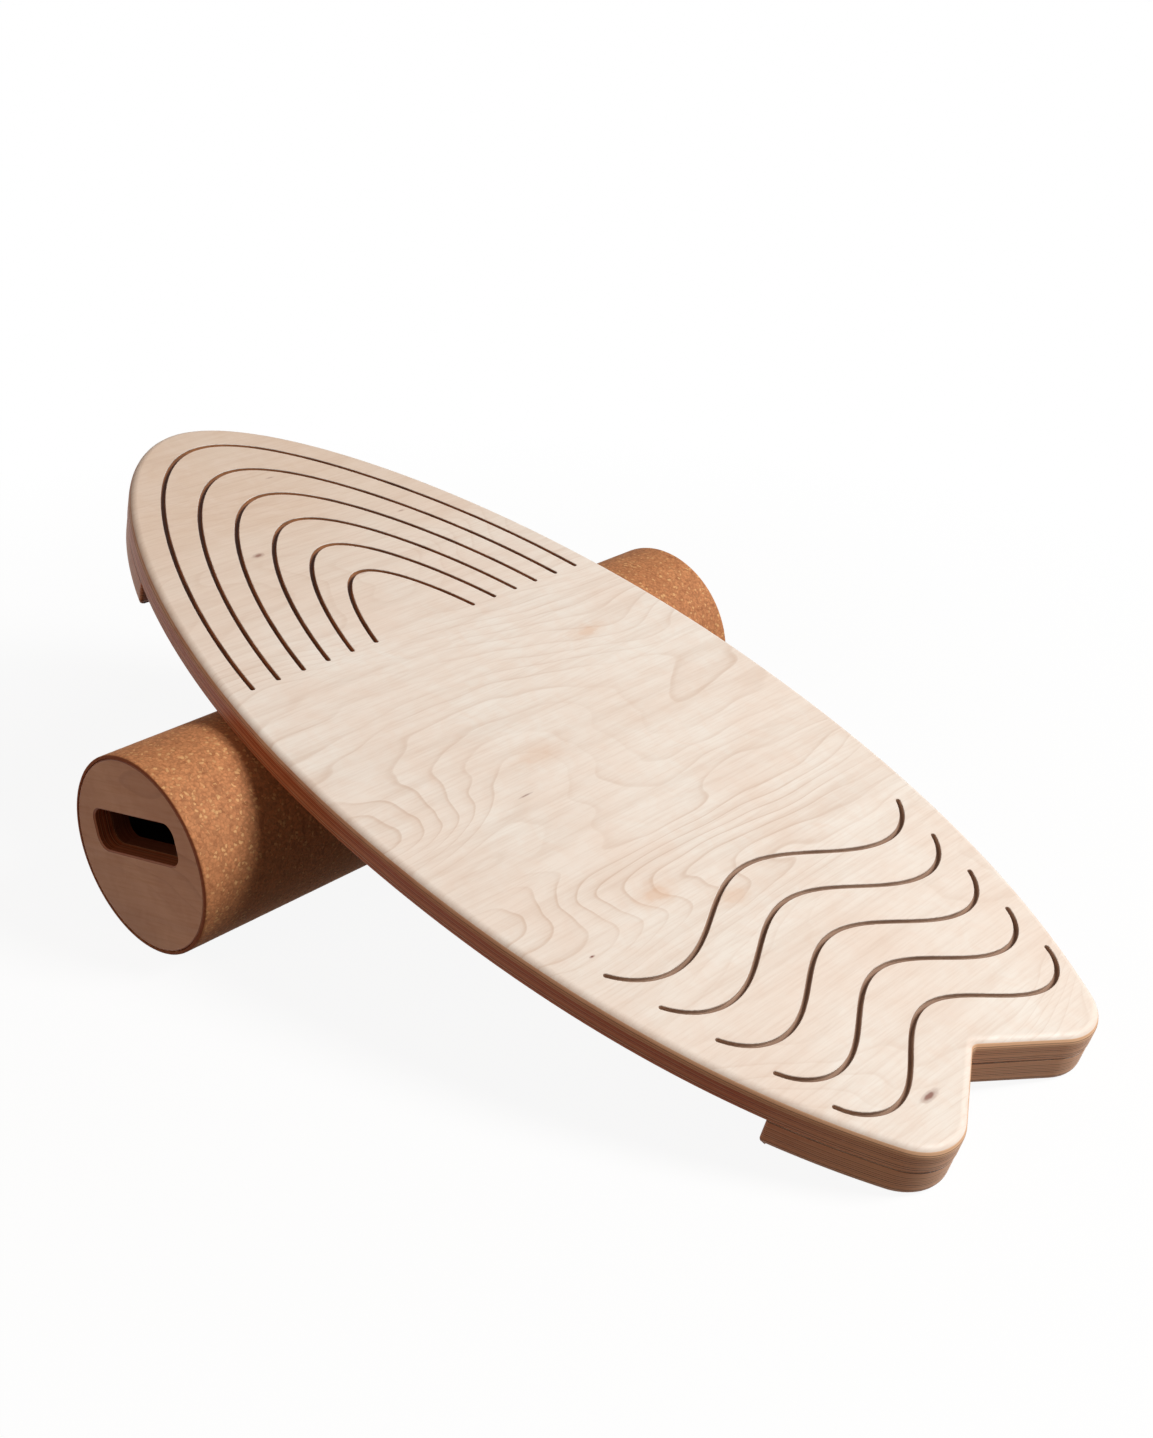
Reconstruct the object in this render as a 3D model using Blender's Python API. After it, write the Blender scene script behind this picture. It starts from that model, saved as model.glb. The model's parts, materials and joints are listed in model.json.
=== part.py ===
"""Balance roller board: a surfboard-shaped plywood deck resting on a cork-covered roller.

The deck leans on the roller with its tail stop on the floor, as it is left when nobody stands on it.
Sizes are millimetres. Deck pieces are drawn in the deck's own frame: x runs from the nose tip towards
the tail, y across the board and z up from the deck's underside. Roller pieces are drawn about the
roller's axis, which lies along y.
"""

import math

import bmesh
import bpy
from mathutils import Matrix, Vector

MM = 0.001

# Gap kept between pieces that touch, so that faceted solids never overlap.
TOUCH_GAP = 0.3
# How far a cutter reaches past the face that it opens.
CUTTER_OVERRUN = 2.0
# Points closer than this in height or along the board count as level.
LEVEL = 0.01

# Deck plan: nose tip at x = 0, widest at WIDEST_X, two round fins and a V notch at the tail.
BOARD_LENGTH = 780.0
BOARD_WIDTH = 363.0
WIDEST_X = 418.0
NOSE_BLUNTNESS = 84.0
SHOULDER_REACH = 225.0
WAIST_REACH = 153.0
TAIL_REACH = 95.5
FIN_RADIUS = 34.5
FIN_SPACING = 142.0
FIN_ENTRY_ANGLE = 59.2
NOTCH_DEPTH = 36.7
NOTCH_RADIUS = 4.5

# Deck section.
DECK_THICKNESS = 18.0
TOP_ROUND = 6.0
UNDERSIDE_EASE = 1.5

# Stops under both ends, which keep the roller from running out.
STOP_THICKNESS = 18.0
STOP_INSET = 0.5
STOP_EDGE_ROUND = 4.0
STOP_TOP_EASE = 0.4
STOP_CORNER_RADIUS = 3.0
NOSE_STOP_LENGTH = 130.0
TAIL_STOP_LENGTH = 82.5

# Routed grooves.
GROOVE_WIDTH = 3.2
GROOVE_DEPTH = 3.6
GROOVE_POINT = 1.0
ARCH_COUNT = 6
ARCH_END_X = 276.5
ARCH_NOSE_MARGIN = 27.0
ARCH_PITCH = 36.2
ARCH_EDGE_MARGIN = 20.2
ARCH_SIDE_PITCH = 20.7
ARCH_FULLNESS = 0.42
ARCH_FULLNESS_STEP = 0.06
WAVE_COUNT = 5
WAVE_NOTCH_MARGIN = 37.3
WAVE_PITCH = 35.1
WAVE_DEPTH = 36.3
WAVE_REACH_SHARE = 0.301
WAVE_REACH_STEP_SHARE = 0.0231
WAVE_END_DROP = 20.2
WAVE_TROUGH_SHARE = 0.735

# Countersunk wood screws that hold each stop, driven from below.
SCREW_LENGTH = 30.0
SCREW_SHANK_RADIUS = 2.0
SCREW_HEAD_RADIUS = 4.0
SCREW_HEAD_HEIGHT = 2.6
SCREW_POINT_LENGTH = 4.0
SCREW_HEAD_SINK = 0.4
DRIVE_RADIUS = 1.7
DRIVE_FLOOR_RADIUS = 1.0
DRIVE_DEPTH = 1.6
SCREW_ROW_MARGIN = 18.0
SCREW_SIDE_MARGIN = 24.0
SCREW_NOSE_MARGIN = 45.0

# Roller.
TUBE_RADIUS = 63.5
TUBE_WALL = 4.0
CORK_THICKNESS = 2.2
CORK_EDGE_EASE = 0.8
ROLLER_LENGTH = 495.0
CAP_THICKNESS = 12.0
CAP_RIM_ROUND = 1.2
PLUG_THICKNESS = 12.0
PLUG_LEAD_IN = 1.5

# Hand slot through each end.
SLOT_LENGTH = 85.6
SLOT_HEIGHT = 27.6
SLOT_CORNER_RADIUS = 9.0
SLOT_OFFSET = 12.5
SLOT_EDGE_EASE = 1.0

# How the two rest together.
CONTACT_X = 293.5
DECK_SIDE_SHIFT = -8.7
ROLLER_TURN = 14.9

# Facets.
NOSE_STEPS = 22
WAIST_STEPS = 12
FIN_STEPS = 8
NOTCH_STEPS = 4
ROLLER_FACETS = 80
SCREW_FACETS = 14
GROOVE_STEPS = 26

CORK_INNER_RADIUS = TUBE_RADIUS + TOUCH_GAP
ROLLER_RADIUS = CORK_INNER_RADIUS + CORK_THICKNESS
TUBE_BORE_RADIUS = TUBE_RADIUS - TUBE_WALL
NOTCH_X = BOARD_LENGTH - NOTCH_DEPTH


def clear_scene():
    """Remove what the opened file holds."""
    for obj in list(bpy.data.objects):
        bpy.data.objects.remove(obj, do_unlink=True)


def make_material(name, colour, roughness, metallic=0.0):
    """Principled material with a linear base colour."""
    material = bpy.data.materials.new(name)
    material.use_nodes = True
    shader = material.node_tree.nodes["Principled BSDF"]
    shader.inputs["Base Color"].default_value = (*colour, 1.0)
    shader.inputs["Roughness"].default_value = roughness
    shader.inputs["Metallic"].default_value = metallic
    material.diffuse_color = (*colour, 1.0)
    return material


def add_empty(name, parent=None):
    """An empty that carries pieces or marks an axis."""
    empty = bpy.data.objects.new(name, None)
    bpy.context.scene.collection.objects.link(empty)
    empty.parent = parent
    return empty


def add_object(name, bm, parent, material=None, smooth_angle=35.0):
    """Turn a bmesh in millimetres into a named object under its parent."""
    bmesh.ops.scale(bm, vec=(MM, MM, MM), verts=bm.verts)
    bmesh.ops.recalc_face_normals(bm, faces=bm.faces)
    mesh = bpy.data.meshes.new(name)
    bm.to_mesh(mesh)
    bm.free()
    mesh.shade_smooth()
    mesh.set_sharp_from_angle(angle=math.radians(smooth_angle))
    if material:
        mesh.materials.append(material)
    obj = bpy.data.objects.new(name, mesh)
    bpy.context.scene.collection.objects.link(obj)
    obj.parent = parent
    return obj


def add_cutter(name, bm, parent):
    """An object that only cuts others."""
    cutter = add_object(name, bm, parent)
    cutter.hide_render = True
    cutter.display_type = "WIRE"
    return cutter


def cut(obj, cutter):
    """Subtract a cutter from a piece."""
    modifier = obj.modifiers.new(f"cut_{cutter.name}", "BOOLEAN")
    modifier.operation = "DIFFERENCE"
    modifier.solver = "EXACT"
    modifier.object = cutter


def bezier(p0, p1, p2, p3, steps):
    """Points on a cubic Bezier, its last point left out."""
    points = []
    for i in range(steps):
        t = i / steps
        u = 1.0 - t
        points.append(u**3 * p0 + 3 * u * u * t * p1 + 3 * u * t * t * p2 + t**3 * p3)
    return points


def arc(centre, radius, start, end, steps):
    """Points on an arc, its last point left out."""
    points = []
    for i in range(steps):
        angle = start + (end - start) * i / steps
        points.append(centre + radius * Vector((math.cos(angle), math.sin(angle))))
    return points


def half_outline():
    """The deck's right half in plan, from the nose tip round one fin to the notch."""
    half_width = BOARD_WIDTH / 2
    nose = Vector((0.0, 0.0))
    widest = Vector((WIDEST_X, half_width))
    fin = Vector((BOARD_LENGTH - FIN_RADIUS, FIN_SPACING / 2))
    entry = math.radians(FIN_ENTRY_ANGLE)
    fin_start = fin + FIN_RADIUS * Vector((math.cos(entry), math.sin(entry)))
    fin_heading = Vector((math.sin(entry), -math.cos(entry)))
    points = bezier(
        nose,
        nose + Vector((0.0, NOSE_BLUNTNESS)),
        widest - Vector((SHOULDER_REACH, 0.0)),
        widest,
        NOSE_STEPS,
    )
    points += bezier(
        widest,
        widest + Vector((WAIST_REACH, 0.0)),
        fin_start - TAIL_REACH * fin_heading,
        fin_start,
        WAIST_STEPS,
    )
    # The notch's straight side touches the fin's arc on one side and the notch's fillet on the other.
    fillet = Vector((NOTCH_X + NOTCH_RADIUS, 0.0))
    to_fillet = fillet - fin
    bearing = math.atan2(to_fillet.y, to_fillet.x)
    swing = math.acos((FIN_RADIUS + NOTCH_RADIUS) / to_fillet.length)
    leave = bearing + swing
    if math.cos(bearing - swing) > math.cos(leave):
        leave = bearing - swing
    points += arc(fin, FIN_RADIUS, entry, 0.0, FIN_STEPS)
    points += arc(fin, FIN_RADIUS, 0.0, leave, FIN_STEPS)
    points.append(fin + FIN_RADIUS * Vector((math.cos(leave), math.sin(leave))))
    points += arc(fillet, NOTCH_RADIUS, leave + math.pi, math.pi, NOTCH_STEPS)
    points.append(Vector((NOTCH_X, 0.0)))
    return points


def offset_inwards(points, distance):
    """Move an open run of points to the right of its direction of travel."""
    moved = []
    for i, point in enumerate(points):
        before = points[max(i - 1, 0)]
        after = points[min(i + 1, len(points) - 1)]
        heading = (after - before).normalized()
        moved.append(point + distance * Vector((heading.y, -heading.x)))
    moved[0].y = 0.0
    moved[-1].y = 0.0
    return moved


def board_outline(inset=0.0):
    """The whole deck in plan, as a closed loop."""
    half = offset_inwards(half_outline(), inset) if inset else half_outline()
    mirrored = [Vector((p.x, -p.y)) for p in half[-2:0:-1]]
    return half + mirrored


def half_width_at(x):
    """Half the deck's width at a place along it, ahead of the fins."""
    run = half_outline()[: NOSE_STEPS + WAIST_STEPS + 1]
    for a, b in zip(run, run[1:]):
        if a.x <= x <= b.x:
            return a.y + (b.y - a.y) * (x - a.x) / (b.x - a.x)
    return run[-1].y


def add_face(bm, outline, z):
    """A flat face from a closed plan outline."""
    return bm.faces.new([bm.verts.new((p.x, p.y, z)) for p in outline])


def extrude_down(bm, depth):
    """Give the sheet in bm a thickness below it."""
    result = bmesh.ops.extrude_face_region(bm, geom=list(bm.faces), use_keep_orig=True)
    moved = [v for v in result["geom"] if isinstance(v, bmesh.types.BMVert)]
    bmesh.ops.translate(bm, vec=(0.0, 0.0, -depth), verts=moved)
    bmesh.ops.recalc_face_normals(bm, faces=bm.faces)


def rim_edges(bm, z):
    """The edges at one height that a flat face and a side wall share."""
    rim = []
    for edge in bm.edges:
        if len(edge.link_faces) == 2 and all(abs(v.co.z - z) < LEVEL for v in edge.verts):
            steepness = sorted(abs(f.normal.z) for f in edge.link_faces)
            if steepness[0] < 0.5 < steepness[1]:
                rim.append(edge)
    return rim


def round_edges(bm, edges, radius, segments):
    """Round a chain of edges."""
    bmesh.ops.bevel(
        bm,
        geom=edges,
        offset=radius,
        offset_type="OFFSET",
        segments=segments,
        profile=0.5,
        affect="EDGES",
        material=-1,
    )


def skin(bm, rings):
    """Join rings of points, each as long as the next, into one closed body."""
    loops = [[bm.verts.new(p) for p in ring] for ring in rings]
    count = len(loops[0])
    for lower, upper in zip(loops, loops[1:]):
        for i in range(count):
            j = (i + 1) % count
            bm.faces.new((lower[i], lower[j], upper[j], upper[i]))
    bm.faces.new(list(reversed(loops[0])))
    bm.faces.new(loops[-1])


def revolve(profile, facets, closed=False):
    """Spin a profile of (radius, height) points about z."""
    bm = bmesh.new()
    verts = [bm.verts.new((radius, 0.0, height)) for radius, height in profile]
    edges = [bm.edges.new(pair) for pair in zip(verts, verts[1:])]
    if closed:
        edges.append(bm.edges.new((verts[-1], verts[0])))
    bmesh.ops.spin(
        bm,
        geom=verts + edges,
        cent=(0.0, 0.0, 0.0),
        axis=(0.0, 0.0, 1.0),
        angle=math.tau,
        steps=facets,
        use_merge=True,
        use_duplicate=False,
    )
    bmesh.ops.remove_doubles(bm, verts=bm.verts, dist=0.0001)
    return bm


def lay_along_y(bm):
    """Turn a body made about z so that its axis lies along y."""
    bmesh.ops.rotate(bm, cent=(0, 0, 0), matrix=Matrix.Rotation(-math.pi / 2, 3, "X"), verts=bm.verts)


def arch_path(number):
    """One of the nested arches behind the nose, from one end round its tip to the other."""
    tip = ARCH_NOSE_MARGIN + number * ARCH_PITCH
    half_span = half_width_at(ARCH_END_X) - ARCH_EDGE_MARGIN - number * ARCH_SIDE_PITCH
    depth = ARCH_END_X - tip
    fullness = ARCH_FULLNESS - number * ARCH_FULLNESS_STEP
    path = []
    for i in range(GROOVE_STEPS + 1):
        t = 2.0 * i / GROOVE_STEPS - 1.0
        across = half_span * t * math.sqrt(1.0 + fullness * t * t * (1.0 - t * t))
        path.append(Vector((tip + depth * t * t, across)))
    return path


def wave_path(number):
    """One of the waves ahead of the notch, counted forwards from the tail."""
    crest = NOTCH_X - WAVE_NOTCH_MARGIN - number * WAVE_PITCH
    reach = BOARD_WIDTH * (WAVE_REACH_SHARE + number * WAVE_REACH_STEP_SHARE)
    trough = WAVE_TROUGH_SHARE * reach
    # Past the trough the ends turn back on an arc that has dropped this far where they stop.
    end_radius = ((reach - trough) ** 2 + WAVE_END_DROP**2) / (2.0 * WAVE_END_DROP)
    path = []
    for i in range(GROOVE_STEPS + 1):
        across = reach * (2.0 * i / GROOVE_STEPS - 1.0)
        past = abs(across) - trough
        if past <= 0.0:
            along = WAVE_DEPTH * (1.0 - math.cos(math.pi * across / trough)) / 2.0
        else:
            along = WAVE_DEPTH - end_radius + math.sqrt(max(end_radius**2 - past**2, 0.0))
        path.append(Vector((crest + along, across)))
    return path


def round_ends(path, half_width):
    """Stations along a groove, each a place, a heading and the half width there."""
    headings = []
    for i in range(len(path)):
        headings.append((path[min(i + 1, len(path) - 1)] - path[max(i - 1, 0)]).normalized())
    stations = [(p, h, half_width) for p, h in zip(path, headings)]
    for share in (0.6, 0.95):
        width = half_width * math.sqrt(1.0 - share**2)
        stations.insert(0, (path[0] - headings[0] * half_width * share, headings[0], width))
        stations.append((path[-1] + headings[-1] * half_width * share, headings[-1], width))
    return stations


def groove_cutter(name, paths, parent):
    """Cutter for grooves with upright sides and a pointed floor, open at the deck's top."""
    bm = bmesh.new()
    top = DECK_THICKNESS + CUTTER_OVERRUN
    floor = DECK_THICKNESS - GROOVE_DEPTH
    for path in paths:
        rings = []
        for place, heading, width in round_ends(path, GROOVE_WIDTH / 2):
            side = Vector((-heading.y, heading.x)) * width
            left = place + side
            right = place - side
            shoulder = floor + GROOVE_POINT
            rings.append(
                [
                    (left.x, left.y, top),
                    (left.x, left.y, shoulder),
                    (place.x, place.y, floor),
                    (right.x, right.y, shoulder),
                    (right.x, right.y, top),
                ]
            )
        skin(bm, rings)
    return add_cutter(name, bm, parent)


def screw_places():
    """Where the screws go in plan, for the nose stop and for the tail stop."""
    nose_row = NOSE_STOP_LENGTH - SCREW_ROW_MARGIN
    nose_side = half_width_at(nose_row) - SCREW_SIDE_MARGIN
    nose = [(nose_row, -nose_side), (nose_row, 0.0), (nose_row, nose_side)]
    nose.append((SCREW_NOSE_MARGIN, 0.0))
    tail_row = BOARD_LENGTH - TAIL_STOP_LENGTH + SCREW_ROW_MARGIN
    tail_side = half_width_at(tail_row) - SCREW_SIDE_MARGIN
    tail = [(tail_row, -tail_side), (tail_row, 0.0), (tail_row, tail_side)]
    tail += [(BOARD_LENGTH - FIN_RADIUS, side * FIN_SPACING / 2) for side in (-1, 1)]
    return nose, tail


def screw_profile(clearance):
    """Half section of a screw, point up, from its head's rim; clearance makes the hole it sits in."""
    under = -TOUCH_GAP - STOP_THICKNESS
    head = under + SCREW_HEAD_SINK
    neck = head + SCREW_HEAD_HEIGHT
    tip = head + SCREW_LENGTH
    shank = SCREW_SHANK_RADIUS + clearance
    rim = SCREW_HEAD_RADIUS + clearance
    if clearance:
        return [
            (0.0, under - CUTTER_OVERRUN),
            (rim, under - CUTTER_OVERRUN),
            (rim, head),
            (shank, neck),
            (shank, tip - SCREW_POINT_LENGTH),
            (0.0, tip + clearance),
        ]
    return [
        (0.0, head + DRIVE_DEPTH),
        (DRIVE_FLOOR_RADIUS, head + DRIVE_DEPTH),
        (DRIVE_RADIUS, head),
        (rim, head),
        (shank, neck),
        (shank, tip - SCREW_POINT_LENGTH),
        (0.0, tip),
    ]


def hole_cutter(name, places, parent):
    """Cutter for the screw holes through a stop and into the deck."""
    bm = bmesh.new()
    for x, y in places:
        hole = revolve(screw_profile(TOUCH_GAP), SCREW_FACETS)
        bmesh.ops.translate(hole, vec=(x, y, 0.0), verts=hole.verts)
        mesh = bpy.data.meshes.new("one_hole")
        hole.to_mesh(mesh)
        hole.free()
        bm.from_mesh(mesh)
        bpy.data.meshes.remove(mesh)
    return add_cutter(name, bm, parent)


def make_screws(name, places, parent, material):
    """One screw at each place; the copies share a mesh."""
    first = None
    for number, (x, y) in enumerate(places, start=1):
        if first is None:
            screw = add_object(f"{name}_{number}", revolve(screw_profile(0.0), SCREW_FACETS), parent, material)
            first = screw
        else:
            screw = bpy.data.objects.new(f"{name}_{number}", first.data)
            bpy.context.scene.collection.objects.link(screw)
            screw.parent = parent
        screw.location = (x * MM, y * MM, 0.0)


def make_deck(parent, material, cutters):
    """The deck: a rounded plywood plate with its grooves and pilot holes."""
    bm = bmesh.new()
    add_face(bm, board_outline(), DECK_THICKNESS)
    extrude_down(bm, DECK_THICKNESS)
    round_edges(bm, rim_edges(bm, DECK_THICKNESS), TOP_ROUND, 4)
    round_edges(bm, rim_edges(bm, 0.0), UNDERSIDE_EASE, 2)
    deck = add_object("deck", bm, parent, material)
    for cutter in cutters:
        cut(deck, cutter)
    return deck


def make_stop(name, cut_x, keep_tail, parent, material, holes):
    """A stop: the deck's own outline as far as a straight inner edge."""
    top = -TOUCH_GAP
    bm = bmesh.new()
    add_face(bm, board_outline(STOP_INSET), top)
    bmesh.ops.bisect_plane(
        bm,
        geom=list(bm.verts) + list(bm.edges) + list(bm.faces),
        plane_co=(cut_x, 0.0, 0.0),
        plane_no=(1.0, 0.0, 0.0),
        clear_inner=keep_tail,
        clear_outer=not keep_tail,
    )
    # Outline points beside the cut would leave no room for the corners' rounding.
    crowding = [v for v in bm.verts if LEVEL < abs(v.co.x - cut_x) < 2 * STOP_CORNER_RADIUS]
    bmesh.ops.dissolve_verts(bm, verts=crowding)
    extrude_down(bm, STOP_THICKNESS)
    corners = []
    for edge in bm.edges:
        upright = abs(edge.verts[0].co.z - edge.verts[1].co.z) > LEVEL
        if upright and abs(edge.verts[0].co.x - cut_x) < LEVEL:
            corners.append(edge)
    round_edges(bm, corners, STOP_CORNER_RADIUS, 3)
    round_edges(bm, rim_edges(bm, top - STOP_THICKNESS), STOP_EDGE_ROUND, 3)
    round_edges(bm, rim_edges(bm, top), STOP_TOP_EASE, 1)
    stop = add_object(name, bm, parent, material)
    cut(stop, holes)
    return stop


def make_tube(parent, material):
    """The roller's core, a plain tube between the two end caps."""
    half = ROLLER_LENGTH / 2 - CAP_THICKNESS - TOUCH_GAP
    profile = [(TUBE_BORE_RADIUS, -half), (TUBE_RADIUS, -half), (TUBE_RADIUS, half), (TUBE_BORE_RADIUS, half)]
    bm = revolve(profile, ROLLER_FACETS, closed=True)
    lay_along_y(bm)
    return add_object("roller_tube", bm, parent, material)


def make_cork(parent, material):
    """The cork sheet round the tube and the caps' rims, with eased ends."""
    half = ROLLER_LENGTH / 2
    profile = [
        (CORK_INNER_RADIUS, -half),
        (ROLLER_RADIUS - CORK_EDGE_EASE, -half),
        (ROLLER_RADIUS, -half + CORK_EDGE_EASE),
        (ROLLER_RADIUS, half - CORK_EDGE_EASE),
        (ROLLER_RADIUS - CORK_EDGE_EASE, half),
        (CORK_INNER_RADIUS, half),
    ]
    bm = revolve(profile, ROLLER_FACETS, closed=True)
    lay_along_y(bm)
    return add_object("cork_wrap", bm, parent, material)


def slot_ring(y, grow):
    """The hand slot's outline at one depth, grown all round."""
    half_length = SLOT_LENGTH / 2 + grow
    half_height = SLOT_HEIGHT / 2 + grow
    radius = SLOT_CORNER_RADIUS + grow
    ring = []
    for quarter, (sx, sz) in enumerate(((1, 1), (-1, 1), (-1, -1), (1, -1))):
        corner = Vector((sx * (half_length - radius), SLOT_OFFSET + sz * (half_height - radius)))
        start = quarter * math.pi / 2
        quarter_arc = arc(corner, radius, start, start + math.pi / 2, 4)
        quarter_arc.append(corner + radius * Vector((math.cos(start + math.pi / 2), math.sin(start + math.pi / 2))))
        ring += [(p.x, y, p.y) for p in quarter_arc]
    return ring


def make_slot_cutter(name, side, parent):
    """Cutter for one hand slot, flared at the cap's face where fingers go in."""
    face = side * ROLLER_LENGTH / 2
    inner = side * (ROLLER_LENGTH / 2 - CAP_THICKNESS - PLUG_THICKNESS - 2 * TOUCH_GAP - CUTTER_OVERRUN)
    bm = bmesh.new()
    rings = [
        slot_ring(face + side * CUTTER_OVERRUN, SLOT_EDGE_EASE + CUTTER_OVERRUN),
        slot_ring(face - side * SLOT_EDGE_EASE, 0.0),
        slot_ring(inner, 0.0),
    ]
    skin(bm, rings)
    return add_cutter(name, bm, parent)


def make_cap(name, side, parent, material, slot_cutter):
    """An outer plywood disc that closes the roller's end, its rim eased."""
    low = ROLLER_LENGTH / 2 - CAP_THICKNESS
    high = ROLLER_LENGTH / 2
    profile = [Vector((0.0, low)), Vector((TUBE_RADIUS, low))]
    rim = Vector((TUBE_RADIUS - CAP_RIM_ROUND, high - CAP_RIM_ROUND))
    profile += arc(rim, CAP_RIM_ROUND, 0.0, math.pi / 2, 2)
    profile += [Vector((TUBE_RADIUS - CAP_RIM_ROUND, high)), Vector((0.0, high))]
    return turned_disc(name, profile, side, parent, material, slot_cutter)


def make_plug(name, side, parent, material, slot_cutter):
    """An inner plywood disc that centres the cap in the tube, its leading rim chamfered."""
    high = ROLLER_LENGTH / 2 - CAP_THICKNESS - TOUCH_GAP
    low = high - PLUG_THICKNESS
    radius = TUBE_BORE_RADIUS - TOUCH_GAP
    profile = [
        (0.0, low),
        (radius - PLUG_LEAD_IN, low),
        (radius, low + PLUG_LEAD_IN),
        (radius, high),
        (0.0, high),
    ]
    return turned_disc(name, profile, side, parent, material, slot_cutter)


def turned_disc(name, profile, side, parent, material, slot_cutter):
    """A disc on the roller's axis at one end, with the hand slot through it."""
    bm = revolve(profile, ROLLER_FACETS)
    lay_along_y(bm)
    if side < 0:
        bmesh.ops.scale(bm, vec=(1.0, -1.0, 1.0), verts=bm.verts)
    disc = add_object(name, bm, parent, material)
    cut(disc, slot_cutter)
    return disc


def lean_angle():
    """The deck's tilt that puts the tail stop's lower edge on the floor the roller stands on."""
    rise = ROLLER_RADIUS + TOUCH_GAP
    below = rise - TOUCH_GAP - STOP_THICKNESS + STOP_EDGE_ROUND
    beyond = BOARD_LENGTH - STOP_INSET - STOP_EDGE_ROUND - CONTACT_X
    reach = math.hypot(below, beyond)
    return math.acos((STOP_EDGE_ROUND - ROLLER_RADIUS) / reach) - math.atan2(beyond, below)


def centre_over_floor(root):
    """Put the middle of the whole part's box over the origin and its lowest point on the floor."""
    bpy.context.view_layer.update()
    depsgraph = bpy.context.evaluated_depsgraph_get()
    corners = []
    for obj in bpy.context.scene.objects:
        if obj.type == "MESH" and not obj.hide_render:
            evaluated = obj.evaluated_get(depsgraph)
            corners += [obj.matrix_world @ v.co for v in evaluated.data.vertices]
    low = Vector([min(c[i] for c in corners) for i in range(3)])
    high = Vector([max(c[i] for c in corners) for i in range(3)])
    root.location -= Vector(((low.x + high.x) / 2, (low.y + high.y) / 2, low.z))
    bpy.context.view_layer.update()


def main():
    """Build the board and its roller."""
    clear_scene()
    birch = make_material("birch_plywood", (0.80, 0.66, 0.52), 0.5)
    edge = make_material("plywood_edge", (0.45, 0.26, 0.17), 0.55)
    cork = make_material("cork", (0.47, 0.25, 0.13), 0.85)
    plastic = make_material("tube_plastic", (0.05, 0.05, 0.05), 0.5)
    zinc = make_material("zinc_plated_steel", (0.60, 0.58, 0.52), 0.35, 1.0)

    # The roller's axis carries everything: the roller turned about it, the deck leaning over it.
    roller_axis = add_empty("roller_axis")
    roller_axis.location = (0.0, 0.0, ROLLER_RADIUS * MM)
    roller_frame = add_empty("roller_frame", roller_axis)
    roller_frame.rotation_euler = (0.0, -math.radians(ROLLER_TURN), 0.0)
    rock_frame = add_empty("rock_frame", roller_axis)
    rock_frame.rotation_euler = (0.0, lean_angle(), 0.0)
    deck_frame = add_empty("deck_frame", rock_frame)
    deck_frame.location = (-CONTACT_X * MM, DECK_SIDE_SHIFT * MM, (ROLLER_RADIUS + TOUCH_GAP) * MM)

    nose_places, tail_places = screw_places()
    arches = groove_cutter("arch_cutter", [arch_path(i) for i in range(ARCH_COUNT)], deck_frame)
    waves = groove_cutter("wave_cutter", [wave_path(i) for i in range(WAVE_COUNT)], deck_frame)
    nose_holes = hole_cutter("nose_hole_cutter", nose_places, deck_frame)
    tail_holes = hole_cutter("tail_hole_cutter", tail_places, deck_frame)
    make_deck(deck_frame, birch, (arches, waves, nose_holes, tail_holes))
    make_stop("nose_stop", NOSE_STOP_LENGTH, False, deck_frame, edge, nose_holes)
    make_stop("tail_stop", BOARD_LENGTH - TAIL_STOP_LENGTH, True, deck_frame, edge, tail_holes)
    make_screws("nose_stop_screw", nose_places, deck_frame, zinc)
    make_screws("tail_stop_screw", tail_places, deck_frame, zinc)

    make_tube(roller_frame, plastic)
    make_cork(roller_frame, cork)
    for end, side in (("near", -1), ("far", 1)):
        slot = make_slot_cutter(f"{end}_slot_cutter", side, roller_frame)
        make_cap(f"{end}_end_cap", side, roller_frame, birch, slot)
        make_plug(f"{end}_cap_plug", side, roller_frame, birch, slot)

    centre_over_floor(roller_axis)


main()
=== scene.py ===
"""Balance roller board: a grooved birch plywood deck that leans on a cork-covered roller.

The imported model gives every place; this script makes the finished surfaces around it.
Lengths are metres. Deck pieces are drawn in the deck's own frame, x from the nose towards the tail,
y across and z up from the underside. Roller pieces are drawn about z and then laid along the roller.
"""

import json
import math

import bmesh
import bpy
from bpy.props import FloatProperty, FloatVectorProperty, IntProperty, PointerProperty
from mathutils import Matrix, Vector, noise
from mathutils.geometry import interpolate_bezier


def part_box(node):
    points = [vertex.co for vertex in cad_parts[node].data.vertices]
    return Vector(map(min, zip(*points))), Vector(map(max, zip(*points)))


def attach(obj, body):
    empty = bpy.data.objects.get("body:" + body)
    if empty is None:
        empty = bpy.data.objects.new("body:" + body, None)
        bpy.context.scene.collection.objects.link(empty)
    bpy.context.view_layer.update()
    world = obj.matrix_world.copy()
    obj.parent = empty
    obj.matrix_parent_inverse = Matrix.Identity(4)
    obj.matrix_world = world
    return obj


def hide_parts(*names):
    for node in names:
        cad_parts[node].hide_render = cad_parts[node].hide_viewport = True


bl_info = {
    "name": "Balance roller board",
    "version": (1, 0, 0),
    "blender": (4, 5, 0),
    "location": "3D View > Sidebar > Roller board",
    "description": "Finishes a plywood balance deck and its cork-covered roller",
    "category": "Object",
}

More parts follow.
